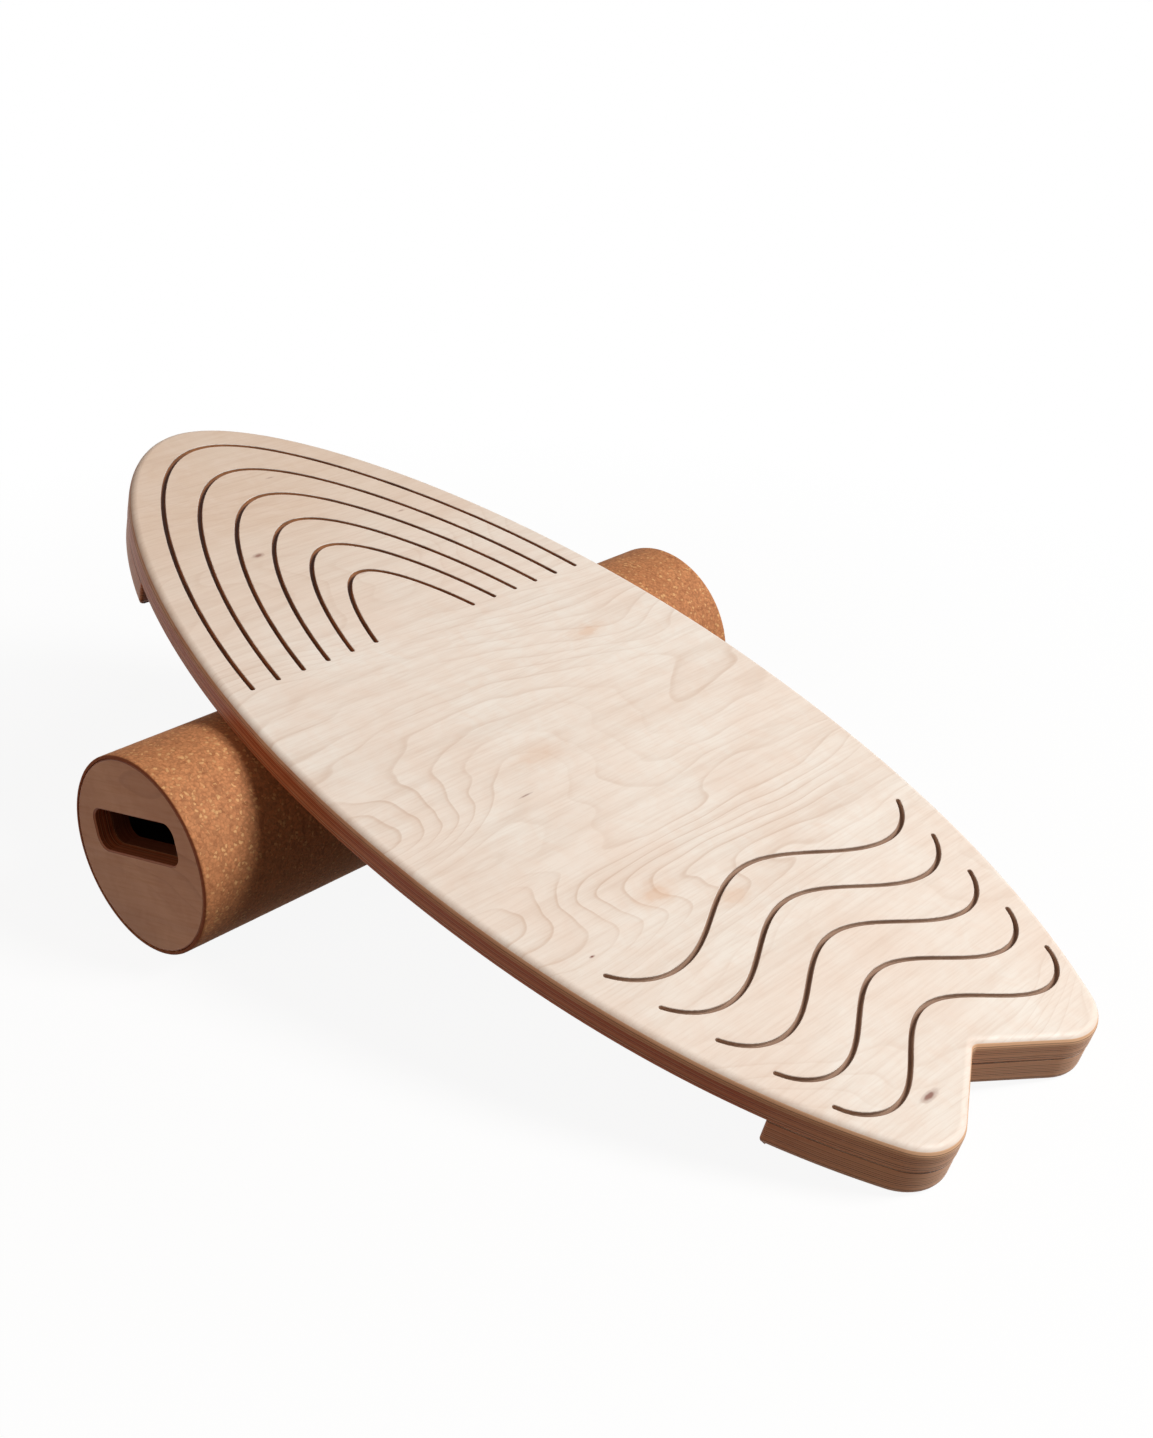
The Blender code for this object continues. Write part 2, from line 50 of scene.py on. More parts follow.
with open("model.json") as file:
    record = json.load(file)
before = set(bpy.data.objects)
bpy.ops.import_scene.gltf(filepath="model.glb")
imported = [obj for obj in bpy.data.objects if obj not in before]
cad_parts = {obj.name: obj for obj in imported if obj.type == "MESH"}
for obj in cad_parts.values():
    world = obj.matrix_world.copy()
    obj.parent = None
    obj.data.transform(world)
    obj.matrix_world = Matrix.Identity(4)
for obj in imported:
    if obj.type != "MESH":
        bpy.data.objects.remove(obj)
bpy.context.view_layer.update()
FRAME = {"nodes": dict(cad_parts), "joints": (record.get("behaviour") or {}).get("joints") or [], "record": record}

JOINTS = {joint["name"]: joint for joint in FRAME["joints"]}
MOUNTS = {mount["name"]: mount for mount in FRAME["record"]["mounts"]}
ROLLER_AXIS = Vector(JOINTS["deck_rock"]["pos_m"])
DECK_ALONG = Vector(JOINTS["deck_travel"]["axis"])
DECK_UP = Vector(MOUNTS["deck_top"]["axis"])

MM = 0.001
# Pieces that touch keep this gap, points closer than LEVEL count as level, and cutters reach past by OVER.
TOUCH_GAP = 0.3 * MM
LEVEL = 0.01 * MM
OVER = 2.0 * MM
# Edges that bend by more than this stay sharp.
SHARP_ANGLE = 30.0
CORK_SHARP_ANGLE = 50.0


def linear(code):
    """The linear colour of an sRGB hex code."""
    parts = [int(code[i : i + 2], 16) / 255 for i in (1, 3, 5)]
    return [c / 12.92 if c <= 0.04045 else ((c + 0.055) / 1.055) ** 2.4 for c in parts]


def length(name, text, default):
    """A length that a user may change."""
    return FloatProperty(name=name, description=text, default=default, min=0.0, unit="LENGTH", precision=4)


def angle(name, text, degrees):
    """An angle that a user may change."""
    return FloatProperty(name=name, description=text, default=math.radians(degrees), unit="ROTATION")


def colour(name, text, code):
    """A colour that a user may change."""
    return FloatVectorProperty(
        name=name, description=text, default=linear(code), min=0.0, max=1.0, size=3, subtype="COLOR"
    )


class DeckSizes(bpy.types.PropertyGroup):
    """Sizes of the deck, its stops and its grooves."""

    long: length("Length", "Nose tip to the fins' ends", 0.780)
    wide: length("Width", "Across the widest place", 0.363)
    widest_x: length("Widest at", "Nose tip to the widest place", 0.418)
    bluntness: length("Nose bluntness", "Pull of the nose's curve across the board", 0.084)
    shoulder: length("Shoulder reach", "Pull of the nose's curve at the widest place", 0.225)
    waist: length("Waist reach", "Pull of the tail's curve at the widest place", 0.153)
    tail: length("Tail reach", "Pull of the tail's curve at the fin", 0.0955)
    fin_radius: length("Fin radius", "Round end of each fin", 0.0345)
    fin_spacing: length("Fin spacing", "Between the middles of the fins' rounds", 0.142)
    fin_entry: angle("Fin entry", "Where the side meets the fin's round", 59.2)
    notch_depth: length("Notch depth", "Fins' ends to the notch's bottom", 0.0367)
    notch_radius: length("Notch radius", "Round bottom of the notch", 0.0045)
    thick: length("Thickness", "Plywood of the deck and of the stops", 0.018)
    top_round: length("Top round", "Routed round along the top edge", 0.006)
    under_ease: length("Underside ease", "Sanded round along the lower edge", 0.0015)
    nose_stop: length("Nose stop", "Length of the stop under the nose", 0.130)
    tail_stop: length("Tail stop", "Length of the stop under the tail", 0.0825)
    stop_inset: length("Stop inset", "How far the stops lie inside the deck's edge", 0.0005)
    stop_round: length("Stop round", "Round along the stops' lower edge", 0.004)
    stop_corner: length("Stop corner", "Round of the stops' upright corners", 0.003)
    groove_wide: length("Groove width", "Width of the router bit", 0.0032)
    groove_deep: length("Groove depth", "Depth of the grooves", 0.0036)
    groove_lip: length("Groove lip", "Sanded chamfer along the grooves", 0.0003)
    arches: IntProperty(name="Arches", description="Nested arches behind the nose", default=6, min=1)
    waves: IntProperty(name="Waves", description="Waves ahead of the tail", default=5, min=1)


class RollerSizes(bpy.types.PropertyGroup):
    """Sizes of the roller and the hand slots in its ends."""

    long: length("Length", "End to end", 0.495)
    tube_radius: length("Tube radius", "Outside of the tube", 0.0635)
    tube_wall: length("Tube wall", "Thickness of the tube", 0.004)
    cork: length("Cork", "Thickness of the cork sheet", 0.0022)
    cork_ease: length("Cork ease", "Sanded edge of the cork", 0.0008)
    cap: length("Cap", "Thickness of the outer discs", 0.012)
    cap_round: length("Cap round", "Round of the discs' rims", 0.0012)
    plug: length("Plug", "Thickness of the inner discs", 0.012)
    plug_lead: length("Plug lead-in", "Chamfer of the inner discs", 0.0015)
    slot_long: length("Slot length", "Length of the hand slots", 0.0856)
    slot_high: length("Slot height", "Height of the hand slots", 0.0276)
    slot_corner: length("Slot corner", "Corner radius of the hand slots", 0.009)
    slot_offset: length("Slot offset", "Slot's middle above the disc's middle", 0.0125)
    slot_ease: length("Slot ease", "Chamfer where fingers go in", 0.001)
    contact_x: length("Contact", "Nose tip to the line where the roller touches", 0.2935)
    side_shift: FloatProperty(
        name="Side shift", description="Deck's middle line from the roller's", default=-0.0087, unit="LENGTH"
    )
    turn: angle("Turn", "How far the roller has rolled", 14.9)


class Finishes(bpy.types.PropertyGroup):
    """Colours of wood, cork, plastic and steel."""

    veneer: colour("Veneer", "Pale birch of the deck's faces", "#F6EDE3")
    veneer_warm: colour("Warm veneer", "Pinkish patches of the birch", "#F1DECF")
    # Painted shade: the deck's birch darkens towards the nose as if less light reached it there.
    veneer_nose_shade: colour("Nose veneer", "Darker birch towards the nose", "#DFC1A6")
    knot: colour("Knot", "Small knots", "#7A3F2E")
    stain: colour("Stain", "Orange mineral stains of the birch", "#DDAA80")
    ply_light: colour("Light ply", "Plies cut along the grain", "#EBBE97")
    ply_dark: colour("Dark ply", "Plies cut across the grain", "#B25A30")
    glue: colour("Glue line", "Glue between the plies", "#47200F")
    arch_wall: colour("Arch wall", "Wood scorched by the router", "#BF8459")
    arch_floor: colour("Arch floor", "Darkest wood at the bottom of an arch", "#45200F")
    wave_wall: colour("Wave wall", "Wood browned by the router", "#C9AD98")
    wave_floor: colour("Wave floor", "Darkest wood at the bottom of a wave", "#84634D")
    # Painted shade: the end discs' birch is written browner than the deck's, for the shade the discs stand in.
    cap_face_shaded: colour("Cap face", "Birch of the roller's end discs", "#DCAC88")
    cap_warm_shaded: colour("Warm cap", "Darker patches of the end discs", "#C58F69")
    cork: colour("Cork", "Most of the cork's granules", "#C8885A")
    cork_pale: colour("Pale granule", "Light granules", "#EDBB80")
    # The cork's cut ends: part glue stain, part painted shade.
    cork_end_glue_and_shade: colour("Cork edge", "Cut and sealed edge of the sheet", "#84452A")
    cork_dark: colour("Dark granule", "Bark specks", "#8A4E2C")
    tube: colour("Tube", "Extruded plastic", "#1D1B1A")
    zinc: colour("Zinc", "Plating of the screws", "#C9C5B8")


class StageSettings(bpy.types.PropertyGroup):
    """Where the camera stands and how strong the lights are."""

    eye: FloatVectorProperty(
        name="Eye", description="Place of the camera", default=(0.7687, -0.8375, 0.7022), size=3, subtype="XYZ",
        unit="LENGTH"
    )
    heading: angle("Heading", "Turn about z", 41.442)
    tilt: angle("Tilt", "Tilt from straight down", 62.024)
    roll: angle("Roll", "Turn about the line of sight", 2.579)
    lens: FloatProperty(name="Lens", description="Focal length in millimetres", default=48.831, unit="CAMERA")
    shift_x: FloatProperty(name="Shift x", description="Sideways shift of the view", default=-0.0017, precision=4)
    shift_y: FloatProperty(name="Shift y", description="Upward shift of the view", default=0.0169, precision=4)
    key: FloatProperty(name="Key", description="Power of the lamp behind the tail", default=127.0, unit="POWER")
    fill: FloatProperty(name="Fill", description="Power of the camera's side lamp", default=5.4, unit="POWER")
    ambient: FloatProperty(name="Ambient", description="Strength of the world's light", default=0.065)
    floor: colour("Floor", "Light that the floor throws back", "#674838")


def deck_frame(context):
    """Matrix from the deck's own frame to the row frame."""
    roller = context.scene.board_roller
    radius = roller.tube_radius + TOUCH_GAP + roller.cork
    origin = ROLLER_AXIS + DECK_UP * (radius + TOUCH_GAP) - DECK_ALONG * roller.contact_x
    origin.y += roller.side_shift
    across = DECK_UP.cross(DECK_ALONG)
    frame = Matrix((DECK_ALONG, across, DECK_UP)).transposed().to_4x4()
    frame.translation = origin
    return frame


def end_frame(context, side):
    """Matrix from a frame at one end of the roller, z outwards and x along the slot, to the row frame."""
    roller = context.scene.board_roller
    outward = Vector((0.0, side, 0.0))
    along = Vector((math.cos(roller.turn), 0.0, math.sin(roller.turn)))
    frame = Matrix((along, outward.cross(along), outward)).transposed().to_4x4()
    frame.translation = ROLLER_AXIS + outward * roller.long / 2
    return frame


def shade(mesh, sharp=SHARP_ANGLE):
    """Shade a mesh smooth between its sharp edges."""
    mesh.shade_smooth()
    mesh.set_sharp_from_angle(angle=math.radians(sharp))


def new_object(name, bm, place, material, sharp=SHARP_ANGLE):
    """A finished mesh object at the origin, its place in its mesh."""
    bmesh.ops.recalc_face_normals(bm, faces=bm.faces)
    mesh = bpy.data.meshes.new(name)
    bm.to_mesh(mesh)
    bm.free()
    mesh.transform(place)
    mesh.materials.append(material)
    shade(mesh, sharp)
    made = bpy.data.objects.new(name, mesh)
    bpy.context.scene.collection.objects.link(made)
    return made


def carve(piece, cutters):
    """Cut the cutters out of a piece, bake the result into its mesh and drop the cutters."""
    for cutter in cutters:
        modifier = piece.modifiers.new(cutter.name, "BOOLEAN")
        modifier.operation = "DIFFERENCE"
        modifier.solver = "EXACT"
        modifier.material_mode = "TRANSFER"
        modifier.object = cutter
    depsgraph = bpy.context.evaluated_depsgraph_get()
    mesh = bpy.data.meshes.new_from_object(piece.evaluated_get(depsgraph))
    piece.modifiers.clear()
    piece.data = mesh
    shade(mesh)
    for cutter in cutters:
        bpy.data.objects.remove(cutter)


def settle_normals(piece):
    """Keep broad flat faces evenly shaded up to their rounded rims."""
    modifier = piece.modifiers.new("even_faces", "WEIGHTED_NORMAL")
    modifier.keep_sharp = True
    modifier.weight = 100


def arc(centre, radius, start, end, steps):
    """Points on an arc, both ends included."""
    turns = [start + (end - start) * i / steps for i in range(steps + 1)]
    return [centre + radius * Vector((math.cos(t), math.sin(t))) for t in turns]


def curve(knot, handle, last_handle, last, steps):
    """Points on a cubic stretch in plan, its last point left out."""
    points = interpolate_bezier(knot.to_3d(), handle.to_3d(), last_handle.to_3d(), last.to_3d(), steps + 1)
    return [p.to_2d() for p in points[:-1]]


SIDE_STEPS = 56
FIN_STEPS = 20
NOTCH_STEPS = 10


def side_run(deck):
    """One side of the deck in plan, from the nose tip to where the fin's round begins."""
    widest = Vector((deck.widest_x, deck.wide / 2))
    fin = Vector((deck.long - deck.fin_radius, deck.fin_spacing / 2))
    outward = Vector((math.cos(deck.fin_entry), math.sin(deck.fin_entry)))
    heading = Vector((outward.y, -outward.x))
    start = fin + deck.fin_radius * outward
    nose = Vector((0.0, 0.0))
    run = curve(nose, Vector((0.0, deck.bluntness)), widest - Vector((deck.shoulder, 0.0)), widest, SIDE_STEPS)
    run += curve(widest, widest + Vector((deck.waist, 0.0)), start - deck.tail * heading, start, SIDE_STEPS)
    return run


def half_outline(deck):
    """The deck's right half in plan, from the nose tip round one fin to the notch."""
    fin = Vector((deck.long - deck.fin_radius, deck.fin_spacing / 2))
    notch = Vector((deck.long - deck.notch_depth, 0.0))
    fillet = notch + Vector((deck.notch_radius, 0.0))
    bearing = math.atan2(fillet.y - fin.y, fillet.x - fin.x)
    swing = math.acos((deck.fin_radius + deck.notch_radius) / (fillet - fin).length)
    leave = max(bearing - swing, bearing + swing, key=math.cos)
    points = side_run(deck)
    points += arc(fin, deck.fin_radius, deck.fin_entry, leave, FIN_STEPS)
    points += arc(fillet, deck.notch_radius, leave + math.pi, math.pi, NOTCH_STEPS)[:-1]
    return points + [notch]


def outline(deck, inset=0.0):
    """The whole deck in plan, as a closed loop."""
    half = half_outline(deck)
    moved = []
    for before, point, after in zip([half[0]] + half[:-1], half, half[1:] + [half[-1]]):
        heading = (after - before).normalized()
        moved.append(point + inset * Vector((heading.y, -heading.x)))
    moved[0].y = 0.0
    moved[-1].y = 0.0
    return moved + [Vector((p.x, -p.y)) for p in moved[-2:0:-1]]


def half_width(deck, x):
    """Half the deck's width at a place ahead of the fins."""
    run = side_run(deck)
    for a, b in zip(run, run[1:]):
        if a.x <= x <= b.x:
            return a.y + (b.y - a.y) * (x - a.x) / (b.x - a.x)
    return run[-1].y


def sheet_face(bm, points, height):
    """A flat face in plan."""
    bm.faces.new([bm.verts.new((p.x, p.y, height)) for p in points])


def thicken(bm, depth):
    """Extrude what bm holds downwards."""
    grown = bmesh.ops.extrude_face_region(bm, geom=bm.faces[:], use_keep_orig=True)["geom"]
    lower = [v for v in grown if isinstance(v, bmesh.types.BMVert)]
    bmesh.ops.translate(bm, vec=(0.0, 0.0, -depth), verts=lower)
    bmesh.ops.recalc_face_normals(bm, faces=bm.faces)


def round_rim(bm, height, radius, segments):
    """Round the edge that a flat face at one height shares with the side wall."""
    rim = []
    for edge in bm.edges:
        if all(abs(v.co.z - height) < LEVEL for v in edge.verts) and len(edge.link_faces) == 2:
            if min(abs(face.normal.z) for face in edge.link_faces) < 0.5:
                rim.append(edge)
    round_edges(bm, rim, radius, segments)


def round_edges(bm, edges, radius, segments):
    """Round a set of edges."""
    bmesh.ops.bevel(
        bm, geom=edges, offset=radius, offset_type="OFFSET", segments=segments, profile=0.5, affect="EDGES",
        material=-1
    )


def bridge(bm, rings):
    """Join rings of points one after another into a closed body."""
    loops = []
    for ring in rings:
        verts = [bm.verts.new(p) for p in ring]
        loops.append([bm.edges.new(pair) for pair in zip(verts, verts[1:] + verts[:1])])
    for near, far in zip(loops, loops[1:]):
        bmesh.ops.bridge_loops(bm, edges=near + far)
    bmesh.ops.holes_fill(bm, edges=loops[0] + loops[-1], sides=0)


# The arches and waves in plan. Places are from the nose tip, margins from the deck's edge.
ARCH_END_X = 0.2765
ARCH_NOSE_MARGIN = 0.027
ARCH_PITCH = 0.0362
ARCH_EDGE_MARGIN = 0.0202
ARCH_SIDE_PITCH = 0.0207
ARCH_FULLNESS = 0.42
ARCH_FULLNESS_STEP = 0.06
WAVE_NOTCH_MARGIN = 0.0373
WAVE_PITCH = 0.0351
WAVE_DEPTH = 0.0363
WAVE_REACH_SHARE = 0.301
WAVE_REACH_STEP_SHARE = 0.0231
WAVE_END_DROP = 0.0202
WAVE_TROUGH_SHARE = 0.735
GROOVE_STEPS = 90
# The router bit's point: its side ends at the shoulder, and at the corner it has this share of its width.
BIT_SHOULDER = 1.0 * MM
BIT_CORNER = 0.3 * MM
BIT_CORNER_SHARE = 0.7
# Where sections of a groove's round end stand, as shares of its radius.
ROUND_END_SHARES = (0.35, 0.65, 0.85, 0.97)


def arch_path(deck, number):
    """One arch, from one end round its tip to the other."""
    tip = ARCH_NOSE_MARGIN + number * ARCH_PITCH
    half_span = half_width(deck, ARCH_END_X) - ARCH_EDGE_MARGIN - number * ARCH_SIDE_PITCH
    fullness = ARCH_FULLNESS - number * ARCH_FULLNESS_STEP
    path = []
    for i in range(GROOVE_STEPS + 1):
        t = 2.0 * i / GROOVE_STEPS - 1.0
        across = half_span * t * math.sqrt(1.0 + fullness * t * t * (1.0 - t * t))
        path.append(Vector((tip + (ARCH_END_X - tip) * t * t, across)))
    return path


def wave_path(deck, number):
    """One wave, its ends carried on from the troughs as arcs."""
    crest = deck.long - deck.notch_depth - WAVE_NOTCH_MARGIN - number * WAVE_PITCH
    reach = deck.wide * (WAVE_REACH_SHARE + number * WAVE_REACH_STEP_SHARE)
    trough = WAVE_TROUGH_SHARE * reach
    end_radius = ((reach - trough) ** 2 + WAVE_END_DROP**2) / (2.0 * WAVE_END_DROP)
    path = []
    for i in range(GROOVE_STEPS + 1):
        across = reach * (2.0 * i / GROOVE_STEPS - 1.0)
        past = abs(across) - trough
        if past <= 0.0:
            along = WAVE_DEPTH * (1.0 - math.cos(math.pi * across / trough)) / 2.0
        else:
            along = WAVE_DEPTH - end_radius + math.sqrt(max(end_radius**2 - past**2, 0.0))
        path.append(Vector((crest + along, across)))
    return path


def groove_section(deck, place, heading, width):
    """The router bit's section across a groove, with the sanded lip above it."""
    top = deck.thick
    floor = top - deck.groove_deep
    profile = [
        (width + deck.groove_lip + OVER, top + OVER),
        (width, top - deck.groove_lip),
        (width, floor + BIT_SHOULDER),
        (BIT_CORNER_SHARE * width, floor + BIT_CORNER),
        (0.0, floor),
    ]
    side = Vector((-heading.y, heading.x))
    left = [(place + side * w, z) for w, z in profile]
    right = [(place - side * w, z) for w, z in profile[-2::-1]]
    return [(p.x, p.y, z) for p, z in left + right]


def groove_cutter(name, deck, paths, place, material):
    """A body that routs the grooves, with round ends."""
    bm = bmesh.new()
    half = deck.groove_wide / 2
    for path in paths:
        headings = []
        for before, after in zip([path[0]] + path[:-1], path[1:] + [path[-1]]):
            headings.append((after - before).normalized())
        stations = [(p, h, half) for p, h in zip(path, headings)]
        for share in ROUND_END_SHARES:
            width = half * math.sqrt(1.0 - share**2)
            stations.insert(0, (path[0] - headings[0] * half * share, headings[0], width))
            stations.append((path[-1] + headings[-1] * half * share, headings[-1], width))
        bridge(bm, [groove_section(deck, *station) for station in stations])
    return new_object(name, bm, place, material)


def turned(profile, steps, close=False):
    """Spin a profile of (radius, height) about z."""
    bm = bmesh.new()
    verts = [bm.verts.new((r, 0.0, z)) for r, z in profile]
    edges = [bm.edges.new(pair) for pair in zip(verts, verts[1:])]
    if close:
        edges.append(bm.edges.new((verts[-1], verts[0])))
    bmesh.ops.spin(
        bm, geom=verts + edges, cent=(0, 0, 0), axis=(0, 0, 1), angle=math.tau, steps=steps, use_merge=True,
        use_duplicate=False
    )
    bmesh.ops.remove_doubles(bm, verts=bm.verts, dist=1e-6)
    return bm


def feed(tree, node, inputs):
    """Give each named or numbered input of a node its value, or link it to its source socket."""
    for key, value in inputs.items():
        if isinstance(value, bpy.types.NodeSocket):
            tree.links.new(value, node.inputs[key])
        else:
            node.inputs[key].default_value = value


def add(tree, kind, inputs=None, out=0, stops=(), ease="LINEAR", **settings):
    """Add a node with its inputs, its colour ramp's stops and its settings, and give one of its outputs.

    Each stop is a place with a grey level or a colour, and ease says how the ramp runs between them.
    """
    node = tree.nodes.new("ShaderNode" + kind)
    for name, value in settings.items():
        setattr(node, name, value)
    feed(tree, node, inputs or {})
    if stops:
        node.color_ramp.interpolation = ease
        elements = node.color_ramp.elements
        while len(elements) < len(stops):
            elements.new(0.5)
        for element, (place, value) in zip(elements, stops):
            element.position = place
            element.color = (value, value, value, 1.0) if isinstance(value, float) else rgba(value)
    return node.outputs[out]


def rgba(value):
    """A colour property with full alpha."""
    return (*value, 1.0)


def scaled(value, share):
    """A colour made brighter or darker."""
    return rgba([share * c for c in value])


def per_metre(size):
    """How many cells of a pattern lie in a metre, when one is this many millimetres wide."""
    return float(round(1000.0 / size))


def new_material(name):
    """A material with its Principled shader, ready for nodes."""
    material = bpy.data.materials.new(name)
    material.use_nodes = True
    return material, material.node_tree, material.node_tree.nodes["Principled BSDF"]


def local_point(tree, place):
    """The point being shaded, in the frame that place puts in the row frame."""
    inverse = place.inverted()
    point = add(tree, "TexCoord", out="Object")
    return add(tree, "Mapping", {"Vector": point, "Location": inverse.translation, "Rotation": inverse.to_euler()})


def facing(tree, direction):
    """1 where the surface faces this way, -1 where it faces away."""
    normal = add(tree, "TexCoord", out="Normal")
    return add(tree, "VectorMath", {0: normal, 1: tuple(direction)}, "Value", operation="DOT_PRODUCT")


def lay(tree, base, colour, mask, stops=()):
    """Lay a colour over a base as strongly as a mask says, or as these stops make of the mask."""
    if stops:
        mask = add(tree, "ValToRGB", {0: mask}, stops=stops)
    return add(tree, "Mix", {0: mask, 6: base, 7: colour}, 2, data_type="RGBA")


def fade(tree, pattern, mask, stops=()):
    """Fade a pattern where a mask is low, or where these stops make it low."""
    if stops:
        mask = add(tree, "ValToRGB", {0: mask}, stops=stops)
    return add(tree, "Mix", {0: 1.0, 6: pattern, 7: mask}, 2, data_type="RGBA", blend_type="MULTIPLY")


# Patterns run longer along the axes that have a share below 1: the grain and die lines along y, saw marks level.
GROWTH_STRETCH = (1.0, 0.34, 1.0)
FIBRE_STRETCH = (1.0, 0.045, 1.0)
SCORCH_STRETCH = (1.0, 0.1, 1.0)
SAW_STRETCH = (0.05, 0.05, 1.0)
DIE_STRETCH = (1.0, 0.01, 1.0)


def growth_lines(tree, point, x):
    """Growth lines of a peeled log: level lines, about 15 mm apart, of a slope that slow noises bend."""
    drawn = add(tree, "Mapping", {"Vector": point, "Scale": GROWTH_STRETCH})
    wide = {"Vector": drawn, "Scale": per_metre(111), "Detail": 0.6, "Roughness": 0.4, "Distortion": 0.5}
    slow = add(tree, "TexNoise", wide)
    wavy = add(tree, "TexNoise", {"Vector": drawn, "Scale": per_metre(23.8), "Detail": 1.0})
    # The slow noise moves a line by up to 20 pitches, the wavy one by 1.3.
    level = add(tree, "Math", {0: slow, 1: 20.0}, operation="MULTIPLY")
    level = add(tree, "Math", {0: x, 1: per_metre(15.15), 2: level}, operation="MULTIPLY_ADD")
    level = add(tree, "Math", {0: wavy, 1: 1.3, 2: level}, operation="MULTIPLY_ADD")
    ring = add(tree, "Math", {0: level}, operation="FRACT")
    # Each line darkens slowly and ends at once, as late wood does.
    stops = [(0.0, 0.0), (0.40, 0.04), (0.80, 0.32), (0.93, 1.0), (0.97, 0.75), (1.0, 0.0)]
    line = add(tree, "ValToRGB", {0: ring}, stops=stops)
    patch = add(tree, "TexNoise", {"Vector": drawn, "Scale": per_metre(62.5), "Detail": 2.0})
    return fade(tree, line, patch, [(0.38, 0.20), (0.60, 1.0)])


def mark(tree, base, colour, point, wobble, x, y, wide, tall, strength):
    """Lay one knot or stain on a base: an oval at x and y whose rim wobbles."""
    centred = {"Vector": point, "Location": (-x / wide, -y / tall, 0.0), "Scale": (1.0 / wide, 1.0 / tall, 0.0)}
    centred = {0: 0.35, 6: add(tree, "Mapping", centred), 7: wobble}
    centred = add(tree, "Mix", centred, 2, data_type="RGBA", blend_type="LINEAR_LIGHT")
    away = add(tree, "VectorMath", {0: centred}, "Value", operation="LENGTH")
    stops = [(0.25, strength), (0.60, 0.35 * strength), (1.0, 0.0)]
    return lay(tree, base, colour, add(tree, "ValToRGB", {0: away}, stops=stops, ease="EASE"))


def cut_edge(tree, point, parts, thick, layers, colours, slot_painted_shade, deck, streak):
    """Stacked plies, by turns along and across the grain, some with a dark glue line between them."""
    plies = len(layers)
    ripple = add(tree, "TexNoise", {"Vector": point, "Scale": per_metre(40), "Detail": 2.0})
    ripple = add(tree, "Math", {0: ripple, 1: -0.5}, operation="ADD")
    lifted = add(tree, "Math", {0: ripple, 1: PLY_RIPPLE, 2: parts["Z"]}, operation="MULTIPLY_ADD")
    depth = add(tree, "Math", {0: lifted, 1: 1.0 / thick}, operation="MULTIPLY")
    tones = [(i / plies, value) for i, value in enumerate(layers)]
    tone = add(tree, "ValToRGB", {0: depth}, stops=tones, ease="CONSTANT")
    # Within is how far the nearest glue line lies, in plies, and strong is how dark that line is.
    ply = add(tree, "Math", {0: depth, 1: float(plies)}, operation="MULTIPLY")
    nearest = add(tree, "Math", {0: ply}, operation="ROUND")
    strong = add(tree, "TexWhiteNoise", {"W": nearest}, noise_dimensions="1D")
    within = add(tree, "Math", {0: ply, 1: 0.5}, operation="PINGPONG")
    glue = add(tree, "ValToRGB", {0: within}, stops=[(0.0, 1.0), (0.10, 0.8), (0.22, 0.0)])
    glue = fade(tree, glue, strong, [(0.30, 0.06), (0.8, 0.95)])
    mottle = add(tree, "TexNoise", {"Vector": point, "Scale": per_metre(22.2), "Detail": 4.0})
    light, dark = rgba(colours.ply_light), rgba(colours.ply_dark)
    edge = lay(tree, light, dark, tone)
    edge = lay(tree, edge, dark, streak, [(0.42, 0.0), (0.75, 0.45)])
    edge = lay(tree, edge, dark, mottle, [(0.45, 0.0), (0.75, 0.5)])
    if deck:
        # Painted light: the upper plies turn paler towards the tail, as if more light reached them there.
        upper = add(tree, "ValToRGB", {0: depth}, stops=[(0.60, 0.0), (0.63, 0.75)])
        tail_painted_light = add(tree, "MapRange", {0: parts["X"], 1: 0.45, 2: 0.68})
        edge = lay(tree, edge, light, fade(tree, upper, tail_painted_light))
    # Painted light: the fins' plies are laid paler, as if lit from the side.
    fins = add(tree, "MapRange", {0: parts["X"], 1: 0.68, 2: 0.75, 3: 0.0, 4: 0.75})
    edge = lay(tree, edge, light, fins)
    edge = lay(tree, edge, rgba(colours.glue), glue)
    # Painted shade: the glue's colour laid over the whole cut edge darkens it as the shade in a hand slot would.
    return lay(tree, edge, rgba(colours.glue), slot_painted_shade) if slot_painted_shade else edge


# Growth lines and fibres against the warmer wood around them, for red, green and blue.
GRAIN_SHARE = (0.60, 0.44, 0.32)
# How far the layers of plywood wander up and down.
PLY_RIPPLE = 0.8 * MM
# The deck's top veneer reaches 50 degrees round its routed edge, the other faces' veneers end at the edge.
# These tell how far up the surface faces there: 0 is straight down, 1 straight up.
ROUTED_REACH = 0.81
PLAIN_REACH = 0.98


